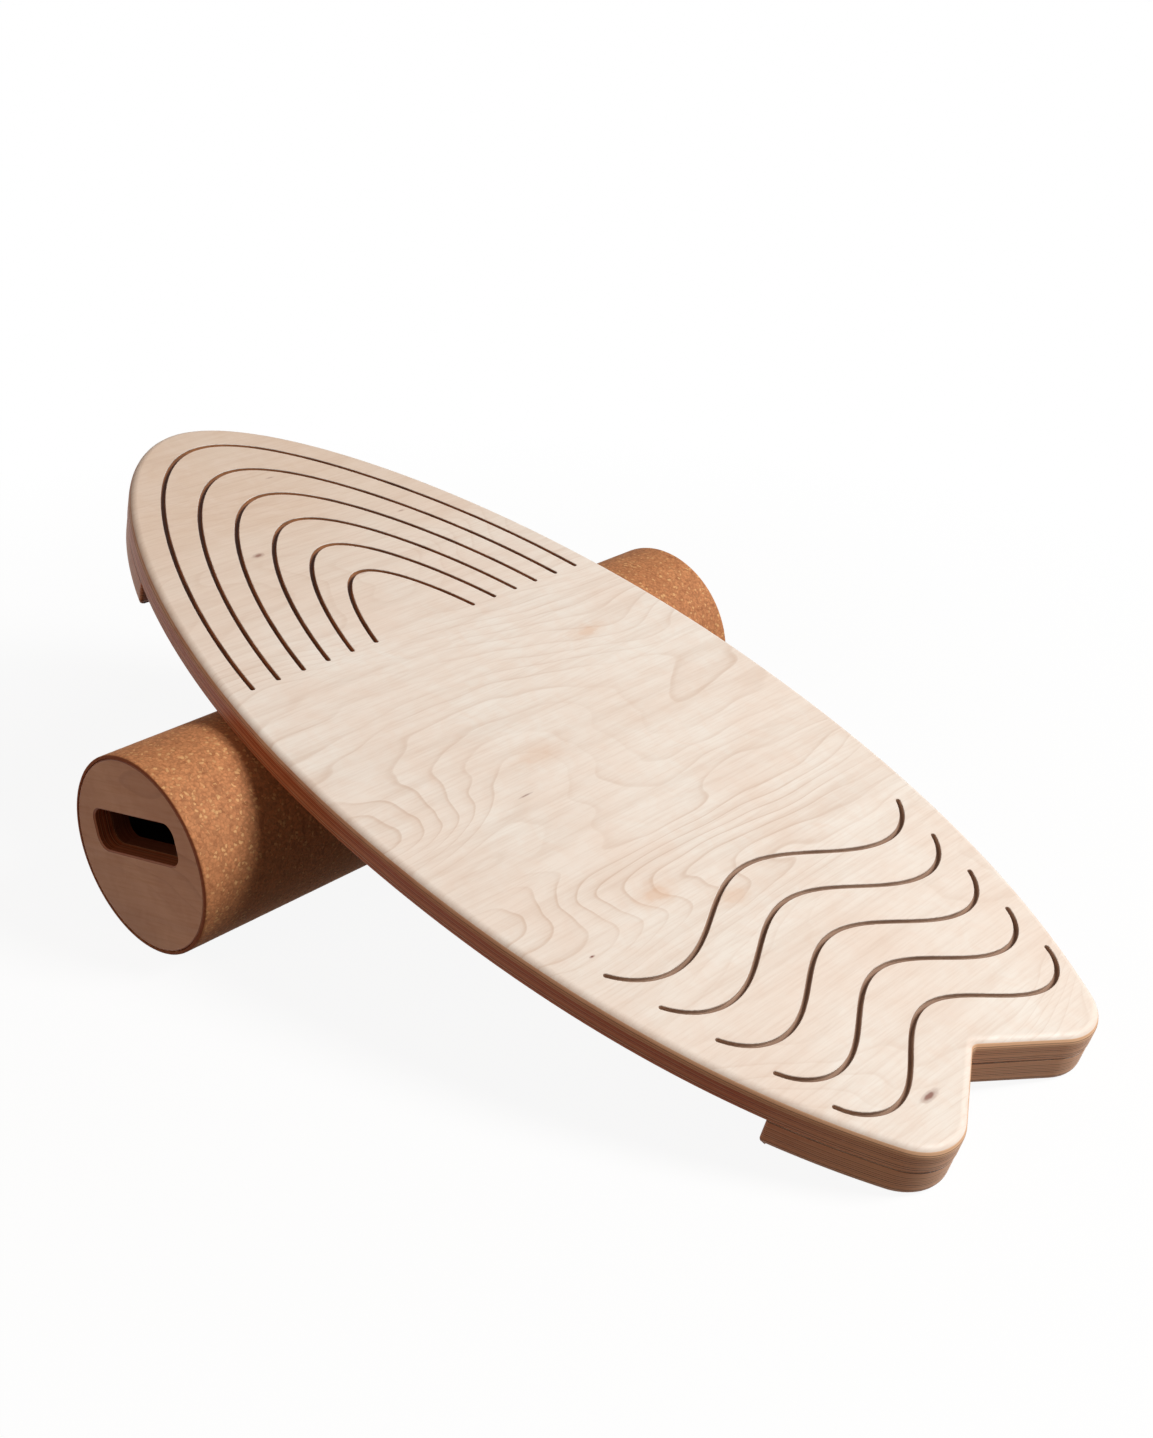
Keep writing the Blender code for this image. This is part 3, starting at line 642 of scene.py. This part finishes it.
def birch_plywood(name, place, thick, layers, face, warm, colours, marks=(), slot_painted_shade=0.0):
    """Birch plywood under satin lacquer: a rotary-cut face veneer with growth lines, and plies at the edge.

    In the frame that place gives, the face's grain runs along y and the plies lie across z from 0 to thick.
    Layers gives each ply's tone from the bottom up: 0 is a ply cut along its grain, 1 one cut across it.
    Only the deck has marks. The last argument is how far painted shade, in the glue's colour, darkens the cut
    edge, standing in for the shade inside the hand slots.
    """
    material, tree, shader = new_material(name)
    point = local_point(tree, place)
    parts = add(tree, "SeparateXYZ", {0: point}).node.outputs
    grain = rgba([share * c for share, c in zip(GRAIN_SHARE, warm)])
    line = growth_lines(tree, point, parts["X"])

    # Fibres about a millimetre wide and a few centimetres long, and broader streaks among them.
    drawn = add(tree, "Mapping", {"Vector": point, "Scale": FIBRE_STRETCH})
    fibre = add(tree, "TexNoise", {"Vector": drawn, "Scale": per_metre(1.613), "Detail": 3.0, "Roughness": 0.6})
    broad = add(tree, "TexNoise", {"Vector": drawn, "Scale": per_metre(7.7), "Detail": 2.0})
    tone = add(tree, "TexNoise", {"Vector": point, "Scale": per_metre(77), "Detail": 4.0, "Roughness": 0.6})
    figure = add(tree, "TexNoise", {"Vector": point, "Scale": per_metre(14.3), "Detail": 3.0, "Distortion": 0.8})
    base = lay(tree, rgba(face), rgba(warm), tone, [(0.38, 0.0), (0.66, 0.75)])
    if marks:
        # Painted shade darkens the wood towards the nose, and its growth lines stand out in the middle.
        nose = {0: parts["X"], 1: 0.06, 2: 0.31, 3: 0.60, 4: 0.0}
        nose = add(tree, "MapRange", nose, interpolation_type="SMOOTHSTEP")
        base = lay(tree, base, rgba(colours.veneer_nose_shade), nose)
        line = fade(tree, line, parts["X"], [(0.22, 0.35), (0.30, 1.0), (0.55, 1.0), (0.64, 0.40)])
    base = lay(tree, base, rgba(warm), figure, [(0.42, 0.0), (0.72, 0.45)])
    base = lay(tree, base, grain, broad, [(0.45, 0.0), (0.80, 0.18)])
    base = lay(tree, base, grain, fibre, [(0.45, 0.0), (0.80, 0.20)])
    base = lay(tree, base, grain, add(tree, "Math", {0: line, 1: 0.40}, operation="MULTIPLY"))
    if marks:
        wobble = add(tree, "TexNoise", {"Vector": point, "Scale": per_metre(8.33), "Detail": 3.0}, "Color")
        for *shape, tint in marks:
            base = mark(tree, base, rgba(getattr(colours, tint)), point, wobble, *shape)

    # Saw marks, drawn out along the edge.
    drawn = add(tree, "Mapping", {"Vector": point, "Scale": SAW_STRETCH})
    streak = add(tree, "TexNoise", {"Vector": drawn, "Scale": per_metre(0.7143), "Detail": 3.0})
    edge = cut_edge(tree, point, parts, thick, layers, colours, slot_painted_shade, bool(marks), streak)

    up = facing(tree, place.to_3x3().col[2])
    up = add(tree, "Math", {0: up, 1: 0.5, 2: 0.5}, operation="MULTIPLY_ADD")
    reach = ROUTED_REACH if marks else PLAIN_REACH
    height = lay(tree, fibre, streak, 0.5)
    feed(tree, shader, {
        "Base Color": lay(tree, edge, base, up, [(0.01, 1.0), (0.02, 0.0), (reach, 0.0), (reach + 0.015, 1.0)]),
        "Roughness": add(tree, "ValToRGB", {0: fibre}, stops=[(0.3, 0.46), (0.8, 0.58)]),
        "Normal": add(tree, "Bump", {"Strength": 0.15, "Distance": 0.2 * MM, "Height": height}),
        "Specular IOR Level": 0.35,
    })
    return material


def scorched_birch(name, place, deck, wall, deepest, colours):
    """Routed birch, browned by the router bit: tan at the groove's sanded lip and darker towards its floor."""
    material, tree, shader = new_material(name)
    point = local_point(tree, place)
    height = add(tree, "SeparateXYZ", {0: point}, "Z")
    floor = deck.thick - deck.groove_deep
    depth = add(tree, "MapRange", {0: height, 1: deck.thick, 2: floor, 3: 0.0, 4: 1.0})
    lip = [0.9 * c for c in colours.veneer]
    stain = add(tree, "TexNoise", {"Vector": point, "Scale": per_metre(22.2), "Detail": 3.0})
    drawn = add(tree, "Mapping", {"Vector": point, "Scale": SCORCH_STRETCH})
    fibre = add(tree, "TexNoise", {"Vector": drawn, "Scale": per_metre(1.111), "Detail": 2.0})
    stops = [(0.0, lip), (0.09, lip), (0.14, wall[:]), (0.6, wall[:]), (1.0, deepest[:])]
    base = add(tree, "ValToRGB", {0: depth}, stops=stops)
    base = lay(tree, base, rgba(deepest), stain, [(0.40, 0.0), (0.70, 0.5)])
    feed(tree, shader, {
        "Base Color": lay(tree, base, rgba(deepest), fibre, [(0.45, 0.0), (0.75, 0.35)]),
        "Roughness": 0.7,
        "Normal": add(tree, "Bump", {"Strength": 0.2, "Distance": 0.2 * MM, "Height": fibre}),
    })
    return material


def pressed_cork(name, place, colours):
    """Cork granulate pressed and sliced into sheet: angular grains 1 to 3 mm across, matt, with specks.

    The golden specks are clean cork and the dark ones bark. The cut ends of the sheet are darker, part glue stain
    and part painted shade.
    """
    material, tree, shader = new_material(name)
    point = local_point(tree, place)
    warp = add(tree, "TexNoise", {"Vector": point, "Scale": per_metre(3.33), "Detail": 2.0}, "Color")
    warped = {0: 0.0015, 6: point, 7: warp}
    warped = add(tree, "Mix", warped, 2, data_type="RGBA", blend_type="LINEAR_LIGHT")
    grain = add(tree, "TexVoronoi", {"Vector": warped, "Scale": per_metre(1.786)}, feature="F1").node.outputs
    coarse = add(tree, "TexVoronoi", {"Vector": warped, "Scale": per_metre(3.03)}, "Color", feature="F1")
    chance = add(tree, "SeparateColor", {0: grain["Color"]}).node.outputs
    speck = add(tree, "SeparateColor", {0: coarse}, 1)
    cloud = add(tree, "TexNoise", {"Vector": point, "Scale": per_metre(38.5), "Detail": 5.0, "Roughness": 0.65})
    bark = rgba(colours.cork_dark)
    stops = [(place, [share * c for c in colours.cork]) for place, share in ((0.0, 0.78), (0.5, 1.0), (1.0, 1.18))]
    base = add(tree, "ValToRGB", {0: chance[0]}, stops=stops)
    base = lay(tree, base, bark, cloud, [(0.40, 0.0), (0.70, 0.30)])
    base = lay(tree, base, bark, speck, [(0.90, 0.0), (0.96, 0.40)])
    base = lay(tree, base, rgba(colours.cork_pale), chance[1], [(0.90, 0.0), (0.96, 0.70)])
    base = lay(tree, base, bark, grain["Distance"], [(0.40, 0.0), (0.80, 0.35)])
    ends = add(tree, "Math", {0: facing(tree, place.to_3x3().col[2])}, operation="ABSOLUTE")
    bump = {"Strength": 0.45, "Distance": 0.2 * MM, "Height": grain["Distance"]}
    feed(tree, shader, {
        # The cut ends are darkened, part glue stain and part painted shade.
        "Base Color": lay(tree, base, rgba(colours.cork_end_glue_and_shade), ends, [(0.45, 0.0), (0.80, 0.85)]),
        "Roughness": 0.78,
        "Normal": add(tree, "Bump", bump, invert=True),
        "Specular IOR Level": 0.3,
    })
    return material


def extruded_plastic(name, colours):
    """Black extruded tube: matt, with faint die lines along it."""
    material, tree, shader = new_material(name)
    point = add(tree, "TexCoord", out="Object")
    drawn = add(tree, "Mapping", {"Vector": point, "Scale": DIE_STRETCH})
    lines = add(tree, "TexNoise", {"Vector": drawn, "Scale": per_metre(1.111), "Detail": 2.0})
    feed(tree, shader, {
        "Base Color": lay(tree, rgba(colours.tube), scaled(colours.tube, 1.6), lines),
        "Roughness": 0.5,
        "Normal": add(tree, "Bump", {"Strength": 0.15, "Distance": 0.05 * MM, "Height": lines}),
    })
    return material


def zinc_plate(name, colours):
    """Zinc-plated steel, slightly cloudy as it comes from the bath."""
    material, tree, shader = new_material(name)
    point = add(tree, "TexCoord", out="Object")
    cloud = add(tree, "TexNoise", {"Vector": point, "Scale": per_metre(1.429), "Detail": 3.0})
    feed(tree, shader, {
        "Base Color": lay(tree, rgba(colours.zinc), scaled(colours.zinc, 0.75), cloud),
        "Roughness": add(tree, "ValToRGB", {0: cloud}, stops=[(0.3, 0.28), (0.7, 0.42)]),
        "Metallic": 1.0,
    })
    return material


# Tone of each ply from the bottom up: 18 mm birch plywood has 13, and a 12 mm disc has 9.
DECK_LAYERS = (0.65, 0.85, 0.50, 0.80, 0.60, 0.95, 0.75, 1.00, 0.60, 0.40, 0.10, 0.25, 0.00)
STOP_LAYERS = (0.40, 0.60, 0.35, 0.65, 0.45, 0.60, 0.50, 0.70, 0.45, 0.75, 0.50, 0.80, 0.65)
DISC_LAYERS = (0.80, 1.00, 0.70, 1.00, 0.75, 1.00, 0.80, 0.95, 0.70)
# Marks on the deck's top: place along, place across, half width, half length, strength, colour.
DECK_MARKS = (
    (0.1597, -0.0505, 0.0030, 0.0065, 0.75, "knot"),
    (0.7495, -0.0568, 0.0034, 0.0100, 0.85, "knot"),
    (0.5668, -0.1384, 0.0012, 0.0030, 0.95, "knot"),
    (0.2090, 0.0010, 0.0035, 0.0060, 0.60, "knot"),
    (0.4450, -0.0700, 0.0010, 0.0080, 0.60, "knot"),
    (0.1615, 0.0810, 0.0012, 0.0045, 0.45, "knot"),
    (0.0830, 0.0220, 0.0012, 0.0060, 0.40, "knot"),
    (0.5520, -0.0670, 0.0130, 0.0230, 0.40, "stain"),
    (0.3400, 0.0950, 0.0090, 0.0240, 0.40, "stain"),
    (0.5800, -0.0270, 0.0120, 0.0180, 0.28, "stain"),
    (0.4200, -0.0350, 0.0150, 0.0300, 0.22, "stain"),
)


def deck_material(context, name, layers, lift=0.0, marks=()):
    """Plywood for the deck, or for a stop whose underside lies lift below the deck's."""
    deck = context.scene.board_deck
    colours = context.scene.board_finish
    place = deck_frame(context) @ Matrix.Translation((0.0, 0.0, -lift))
    return birch_plywood(name, place, deck.thick, layers, colours.veneer, colours.veneer_warm, colours, marks)


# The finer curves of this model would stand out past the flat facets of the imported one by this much.
DECK_SET_IN = 0.35 * MM
STOP_SET_IN = 0.15 * MM
CORK_SET_IN = 0.05 * MM

# Steps of the rounds on plywood edges.
TOP_ROUND_STEPS = 7
STOP_ROUND_STEPS = 6
UNDER_EASE_STEPS = 3
STOP_TOP_EASE = 0.4 * MM
STOP_TOP_EASE_STEPS = 2


class BOARD_OT_deck(bpy.types.Operator):
    """Make the deck with its rounded edge and routed grooves"""

    bl_idname = "board.deck"
    bl_label = "Deck"
    bl_options = {"REGISTER", "UNDO"}

    def execute(self, context):
        deck = context.scene.board_deck
        place = deck_frame(context)
        bm = bmesh.new()
        sheet_face(bm, outline(deck, DECK_SET_IN), deck.thick)
        thicken(bm, deck.thick)
        round_rim(bm, deck.thick, deck.top_round, TOP_ROUND_STEPS)
        round_rim(bm, 0.0, deck.under_ease, UNDER_EASE_STEPS)
        wood = deck_material(context, "birch_plywood_deck", DECK_LAYERS, marks=DECK_MARKS)
        piece = new_object("grooved_deck", bm, place, wood)
        colours = context.scene.board_finish
        arches = [arch_path(deck, i) for i in range(deck.arches)]
        waves = [wave_path(deck, i) for i in range(deck.waves)]
        cutters = []
        for name, paths, wall, deepest in (
            ("arches", arches, colours.arch_wall, colours.arch_floor),
            ("waves", waves, colours.wave_wall, colours.wave_floor),
        ):
            scorched = scorched_birch("scorched_birch_" + name, place, deck, wall, deepest, colours)
            cutters.append(groove_cutter(name, deck, paths, place, scorched))
        carve(piece, cutters)
        settle_normals(piece)
        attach(piece, "board")
        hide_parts("deck")
        return {"FINISHED"}


class BOARD_OT_stops(bpy.types.Operator):
    """Make the plywood stops under the nose and the tail"""

    bl_idname = "board.stops"
    bl_label = "Stops"
    bl_options = {"REGISTER", "UNDO"}

    def execute(self, context):
        deck = context.scene.board_deck
        material = deck_material(context, "birch_plywood_stops", STOP_LAYERS, deck.thick + TOUCH_GAP)
        for name, node, cut_x, tail in (
            ("nose_stop_block", "nose_stop", deck.nose_stop, False),
            ("tail_stop_block", "tail_stop", deck.long - deck.tail_stop, True),
        ):
            piece = self.block(deck, name, cut_x, tail, deck_frame(context), material)
            settle_normals(piece)
            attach(piece, "board")
            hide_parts(node)
        return {"FINISHED"}

    def block(self, deck, name, cut_x, tail, place, material):
        """One stop: the deck's outline as far as a straight inner edge."""
        top = -TOUCH_GAP
        bm = bmesh.new()
        sheet_face(bm, outline(deck, deck.stop_inset + STOP_SET_IN), top)
        bmesh.ops.bisect_plane(
            bm, geom=bm.verts[:] + bm.edges[:] + bm.faces[:], plane_co=(cut_x, 0, 0), plane_no=(1, 0, 0),
            clear_inner=tail, clear_outer=not tail
        )
        crowding = [v for v in bm.verts if LEVEL < abs(v.co.x - cut_x) < 2 * deck.stop_corner]
        bmesh.ops.dissolve_verts(bm, verts=crowding)
        thicken(bm, deck.thick)
        corners = []
        for edge in bm.edges:
            upright = abs(edge.verts[0].co.z - edge.verts[1].co.z) > LEVEL
            if upright and abs(edge.verts[0].co.x - cut_x) < LEVEL:
                corners.append(edge)
        round_edges(bm, corners, deck.stop_corner, STOP_ROUND_STEPS)
        round_rim(bm, top - deck.thick, deck.stop_round, STOP_ROUND_STEPS)
        round_rim(bm, top, STOP_TOP_EASE, STOP_TOP_EASE_STEPS)
        return new_object(name, bm, place, material)


SCREW_HEAD_RADIUS = 4.0 * MM
SCREW_HEAD_HEIGHT = 2.6 * MM
SCREW_SHANK_RADIUS = 2.0 * MM
SCREW_LENGTH = 30.0 * MM
SCREW_POINT = 4.0 * MM
SCREW_RIM = 0.2 * MM
SCREW_STEPS = 48
# Each screw has stopped this many radians further round than the one before.
SCREW_TURN = 0.7
RECESS_WIDE = 1.1 * MM
RECESS_SPAN = 4.4 * MM
RECESS_DEEP = 2.0 * MM
# The recess narrows to these shares of its span and width at its bottom.
RECESS_TAPER = (0.35, 0.7, 1.0)


class BOARD_OT_screws(bpy.types.Operator):
    """Make the countersunk screws that hold the stops, seen only from below"""

    bl_idname = "board.screws"
    bl_label = "Screws"
    bl_options = {"REGISTER", "UNDO"}

    def execute(self, context):
        material = zinc_plate("zinc_plated_steel", context.scene.board_finish)
        pattern = self.screw(material)
        place = deck_frame(context)
        turn = place.to_3x3().to_4x4()
        nodes = sorted(name for name in FRAME["nodes"] if "_screw_" in name)
        for number, node in enumerate(nodes):
            low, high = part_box(node)
            middle = (low + high) / 2
            head = middle - DECK_UP * SCREW_LENGTH / 2
            piece = bpy.data.objects.new(node.replace("_stop_screw", "_wood_screw"), pattern.data.copy())
            spin = Matrix.Rotation(number * SCREW_TURN, 4, "Z")
            piece.data.transform(Matrix.Translation(head) @ turn @ spin)
            context.scene.collection.objects.link(piece)
            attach(piece, "board")
            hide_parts(node)
        bpy.data.objects.remove(pattern)
        return {"FINISHED"}

    def screw(self, material):
        """One screw, head down, with a cross recess."""
        profile = [
            (0.0, 0.0),
            (SCREW_HEAD_RADIUS - SCREW_RIM, 0.0),
            (SCREW_HEAD_RADIUS, SCREW_RIM),
            (SCREW_SHANK_RADIUS, SCREW_HEAD_HEIGHT),
            (SCREW_SHANK_RADIUS, SCREW_LENGTH - SCREW_POINT),
            (0.0, SCREW_LENGTH),
        ]
        piece = new_object("screw_pattern", turned(profile, SCREW_STEPS), Matrix.Identity(4), material)
        cutters = []
        for number in range(2):
            bm = bmesh.new()
            bmesh.ops.create_cube(bm, size=1.0)
            bmesh.ops.scale(bm, vec=(RECESS_SPAN, RECESS_WIDE, 2 * RECESS_DEEP), verts=bm.verts)
            inner = [v for v in bm.verts if v.co.z > 0.0]
            bmesh.ops.scale(bm, vec=RECESS_TAPER, verts=inner)
            bmesh.ops.rotate(bm, matrix=Matrix.Rotation(number * math.pi / 2, 3, "Z"), verts=bm.verts)
            cutters.append(new_object(f"recess_{number}", bm, Matrix.Identity(4), material))
        carve(piece, cutters)
        return piece


# The cork's mesh, and the depth and width of its pits.
CORK_GRID = 1.6 * MM
CORK_PIT = 0.12 * MM
PIT_WIDE = 3.0 * MM
PIT_ROUGH = 1.7 * MM


class BOARD_OT_cork(bpy.types.Operator):
    """Make the cork sheet round the roller, its surface pitted grain by grain"""

    bl_idname = "board.cork"
    bl_label = "Cork"
    bl_options = {"REGISTER", "UNDO"}

    def execute(self, context):
        roller = context.scene.board_roller
        inner = roller.tube_radius + TOUCH_GAP
        outer = inner + roller.cork - CORK_SET_IN
        half = roller.long / 2
        shoulder = half - roller.cork_ease
        rows = round(2 * shoulder / CORK_GRID)
        profile = [(inner, -half), (outer - roller.cork_ease, -half)]
        profile += [(outer, shoulder * (2 * i / rows - 1)) for i in range(rows + 1)]
        profile += [(outer - roller.cork_ease, half), (inner, half)]
        bm = turned(profile, round(math.tau * outer / CORK_GRID), close=True)
        for vert in bm.verts:
            radius = vert.co.xy.length
            if radius > outer - LEVEL:
                grain = noise.voronoi(vert.co / PIT_WIDE)[0][0]
                rough = noise.noise(vert.co / PIT_ROUGH)
                pit = CORK_PIT * min(1.0, max(0.0, 0.6 * grain + 0.5 * rough))
                vert.co.xy *= (radius - pit) / radius
        place = end_frame(context, 1) @ Matrix.Translation((0.0, 0.0, -half))
        material = pressed_cork("pressed_cork", place, context.scene.board_finish)
        piece = new_object("cork_sleeve", bm, place, material, CORK_SHARP_ANGLE)
        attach(piece, "roller")
        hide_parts("cork_wrap")
        return {"FINISHED"}


# How far painted shade darkens the discs' cut edges, standing in for the shade inside the hand slots.
CAP_SLOT_SHADE = 0.30
PLUG_SLOT_SHADE = 0.85
DISC_STEPS = 180
RIM_STEPS = 5
SLOT_CORNER_STEPS = 10


class BOARD_OT_end_discs(bpy.types.Operator):
    """Make the plywood caps and plugs with the hand slots through them"""

    bl_idname = "board.end_discs"
    bl_label = "End discs"
    bl_options = {"REGISTER", "UNDO"}

    def execute(self, context):
        roller = context.scene.board_roller
        rim = Vector((roller.tube_radius - roller.cap_round, -roller.cap_round))
        cap = [(0.0, -roller.cap), (roller.tube_radius, -roller.cap)]
        cap += [tuple(p) for p in arc(rim, roller.cap_round, 0.0, math.pi / 2, RIM_STEPS)] + [(0.0, 0.0)]
        plug_radius = roller.tube_radius - roller.tube_wall - TOUCH_GAP
        high = -roller.cap - TOUCH_GAP
        low = high - roller.plug
        plug = [
            (0.0, low),
            (plug_radius - roller.plug_lead, low),
            (plug_radius, low + roller.plug_lead),
            (plug_radius, high),
            (0.0, high),
        ]
        for end, side in (("near", -1), ("far", 1)):
            for name, node, profile, thick, sunk, slot_painted_shade in (
                ("cap_disc", "end_cap", cap, roller.cap, 0.0, CAP_SLOT_SHADE),
                ("plug_disc", "cap_plug", plug, roller.plug, -high, PLUG_SLOT_SHADE),
            ):
                self.disc(context, f"{end}_{name}", f"{end}_{node}", profile, side, thick, sunk, slot_painted_shade)
        return {"FINISHED"}

    def disc(self, context, name, node, profile, side, thick, sunk, slot_painted_shade):
        """One disc on the roller's axis, its outer face sunk below the roller's end."""
        colours = context.scene.board_finish
        place = end_frame(context, side)
        layers = place @ Matrix.Translation((0.0, 0.0, -sunk - thick)) @ Matrix.Rotation(math.pi / 2, 4, "Z")
        # The discs' birch carries painted shade in its browner colours.
        material = birch_plywood(
            f"birch_plywood_{name}", layers, thick, DISC_LAYERS, colours.cap_face_shaded, colours.cap_warm_shaded, colours,
            slot_painted_shade=slot_painted_shade
        )
        piece = new_object(name, turned(profile, DISC_STEPS), place, material)
        carve(piece, [self.slot_cutter(context.scene.board_roller, place, side, material)])
        settle_normals(piece)
        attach(piece, "roller")
        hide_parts(node)

    def slot_cutter(self, roller, place, side, material):
        """A body that cuts one hand slot, flared where fingers go in."""
        through = roller.cap + roller.plug + 2 * TOUCH_GAP + OVER
        rings = []
        for height, grow in ((OVER, roller.slot_ease + OVER), (-roller.slot_ease, 0.0), (-through, 0.0)):
            ring = []
            corner = Vector((roller.slot_long / 2 - roller.slot_corner, roller.slot_high / 2 - roller.slot_corner))
            for quarter, (sx, sy) in enumerate(((1, 1), (-1, 1), (-1, -1), (1, -1))):
                centre = Vector((sx * corner.x, side * -roller.slot_offset + sy * corner.y))
                start = quarter * math.pi / 2
                ring += arc(centre, roller.slot_corner + grow, start, start + math.pi / 2, SLOT_CORNER_STEPS)
            rings.append([(p.x, p.y, height) for p in ring])
        bm = bmesh.new()
        bridge(bm, rings)
        return new_object("slot_cutter", bm, place, material)


class BOARD_OT_tube(bpy.types.Operator):
    """Finish the roller's tube"""

    bl_idname = "board.tube"
    bl_label = "Tube"
    bl_options = {"REGISTER", "UNDO"}

    def execute(self, context):
        tube = FRAME["nodes"]["roller_tube"]
        tube.data.materials.clear()
        tube.data.materials.append(extruded_plastic("extruded_tube", context.scene.board_finish))
        return {"FINISHED"}


WHITE = (1.0, 1.0, 1.0, 1.0)
# Each lamp's name, place, width, tint and the setting that holds its power. The key lamp stands high behind the
# tail. The fill lamp stands low on the camera's side, tinted as light that comes back from wood.
LAMPS = (
    ("key_lamp", (2.20, 1.30, 2.50), 1.4, (1.0, 0.99, 0.97), "key"),
    ("fill_lamp", (-0.20, -1.80, 0.90), 1.0, (1.0, 0.70, 0.51), "fill"),
)
AMBIENT_TINT = (1.0, 0.82, 0.66, 1.0)
FLOOR_REACH = 30.0
FLOOR_DROP = 0.2 * MM
FLOOR_ROUGHNESS = 0.9
# Seen by the camera, the floor is plain white from the second distance on, and up to the first one it is white
# but for a share that its shadows show in.
SHADOW_NEAR = 0.40
SHADOW_FAR = 0.90
WHITE_SHARE = 0.92


class BOARD_OT_stage(bpy.types.Operator):
    """Make the camera, the floor, the lamps and the world"""

    bl_idname = "board.stage"
    bl_label = "Stage"
    bl_options = {"REGISTER", "UNDO"}

    def execute(self, context):
        stage = context.scene.board_stage
        self.camera(context, stage)
        self.floor(stage)
        for name, place, size, tint, power in LAMPS:
            self.lamp(context, name, place, size, getattr(stage, power), tint)
        self.world(context, stage)
        context.scene.view_settings.view_transform = "Standard"
        return {"FINISHED"}

    def camera(self, context, stage):
        """The photograph's view."""
        camera = bpy.data.cameras.new("camera")
        camera.sensor_width = 36.0
        camera.lens = stage.lens
        camera.shift_x = stage.shift_x
        camera.shift_y = stage.shift_y
        holder = bpy.data.objects.new("camera", camera)
        turn = Matrix.Rotation(stage.heading, 4, "Z") @ Matrix.Rotation(stage.tilt, 4, "X")
        turn = turn @ Matrix.Rotation(stage.roll, 4, "Z")
        holder.matrix_world = Matrix.Translation(stage.eye) @ turn
        context.scene.collection.objects.link(holder)
        context.scene.camera = holder

    def floor(self, stage):
        """A wide pale floor that shows white and keeps a soft shadow."""
        bm = bmesh.new()
        bmesh.ops.create_grid(bm, x_segments=1, y_segments=1, size=FLOOR_REACH)
        bmesh.ops.translate(bm, vec=(0.0, 0.0, -FLOOR_DROP), verts=bm.verts)
        material, tree, shader = new_material("pale_floor")
        seen = self.seen(tree)
        feed(tree, shader, {
            "Base Color": lay(tree, rgba(stage.floor), WHITE, seen),
            "Roughness": FLOOR_ROUGHNESS,
            "Specular IOR Level": 0.0,
        })
        away = add(tree, "VectorMath", {0: add(tree, "TexCoord", out="Object")}, "Value", operation="LENGTH")
        plain = add(tree, "MapRange", {0: away, 1: SHADOW_NEAR, 2: SHADOW_FAR, 3: WHITE_SHARE, 4: 1.0})
        share = add(tree, "Math", {0: seen, 1: plain}, operation="MULTIPLY")
        glow = add(tree, "Emission", {"Color": WHITE, "Strength": 1.0})
        mixed = add(tree, "MixShader", {0: share, 1: shader.outputs[0], 2: glow})
        feed(tree, tree.nodes["Material Output"], {"Surface": mixed})
        new_object("floor", bm, Matrix.Identity(4), material)

    def seen(self, tree):
        """1 for what the camera sees straight, mirrored or through glass, and 0 for light on the object."""
        path = add(tree, "LightPath").node.outputs
        seen = add(tree, "Math", {0: path["Is Camera Ray"], 1: path["Is Glossy Ray"]}, operation="MAXIMUM")
        return add(tree, "Math", {0: seen, 1: path["Is Transmission Ray"]}, operation="MAXIMUM")

    def lamp(self, context, name, place, size, power, tint):
        """A round soft lamp that looks at the object."""
        light = bpy.data.lights.new(name, "AREA")
        light.shape = "DISK"
        light.size = size
        light.energy = power
        light.color = tint
        holder = bpy.data.objects.new(name, light)
        holder.location = place
        holder.rotation_euler = (-Vector(place)).to_track_quat("-Z", "Y").to_euler()
        context.scene.collection.objects.link(holder)

    def world(self, context, stage):
        """A white surround that lights the object only faintly."""
        world = bpy.data.worlds.new("white_surround")
        world.use_nodes = True
        tree = world.node_tree
        seen = self.seen(tree)
        feed(tree, tree.nodes["Background"], {
            "Color": lay(tree, AMBIENT_TINT, WHITE, seen),
            "Strength": add(tree, "MapRange", {0: seen, 1: 0.0, 2: 1.0, 3: stage.ambient, 4: 1.0}),
        })
        context.scene.world = world


class BOARD_PT_panel(bpy.types.Panel):
    """Sizes, colours and the buttons that make each piece"""

    bl_idname = "BOARD_PT_panel"
    bl_label = "Roller board"
    bl_space_type = "VIEW_3D"
    bl_region_type = "UI"
    bl_category = "Roller board"

    def draw(self, context):
        for group in (getattr(context.scene, name) for name in GROUPS):
            box = self.layout.box()
            for name in group.bl_rna.properties.keys()[2:]:
                box.prop(group, name)
        for operator in STEPS:
            self.layout.operator(operator.bl_idname)


GROUPS = {
    "board_deck": DeckSizes,
    "board_roller": RollerSizes,
    "board_finish": Finishes,
    "board_stage": StageSettings,
}
STEPS = (
    BOARD_OT_stage,
    BOARD_OT_deck,
    BOARD_OT_stops,
    BOARD_OT_screws,
    BOARD_OT_cork,
    BOARD_OT_end_discs,
    BOARD_OT_tube,
)


def register():
    """Make the settings, the operators and the panel known."""
    for name, group in GROUPS.items():
        bpy.utils.register_class(group)
        setattr(bpy.types.Scene, name, PointerProperty(type=group))
    for step in STEPS + (BOARD_PT_panel,):
        bpy.utils.register_class(step)


def unregister():
    """Take them away again."""
    for step in (BOARD_PT_panel,) + STEPS[::-1]:
        bpy.utils.unregister_class(step)
    for name, group in GROUPS.items():
        delattr(bpy.types.Scene, name)
        bpy.utils.unregister_class(group)


def main():
    """Run every step."""
    register()
    for step in STEPS:
        group, name = step.bl_idname.split(".")
        getattr(getattr(bpy.ops, group), name)()


if __name__ == "__main__":
    main()
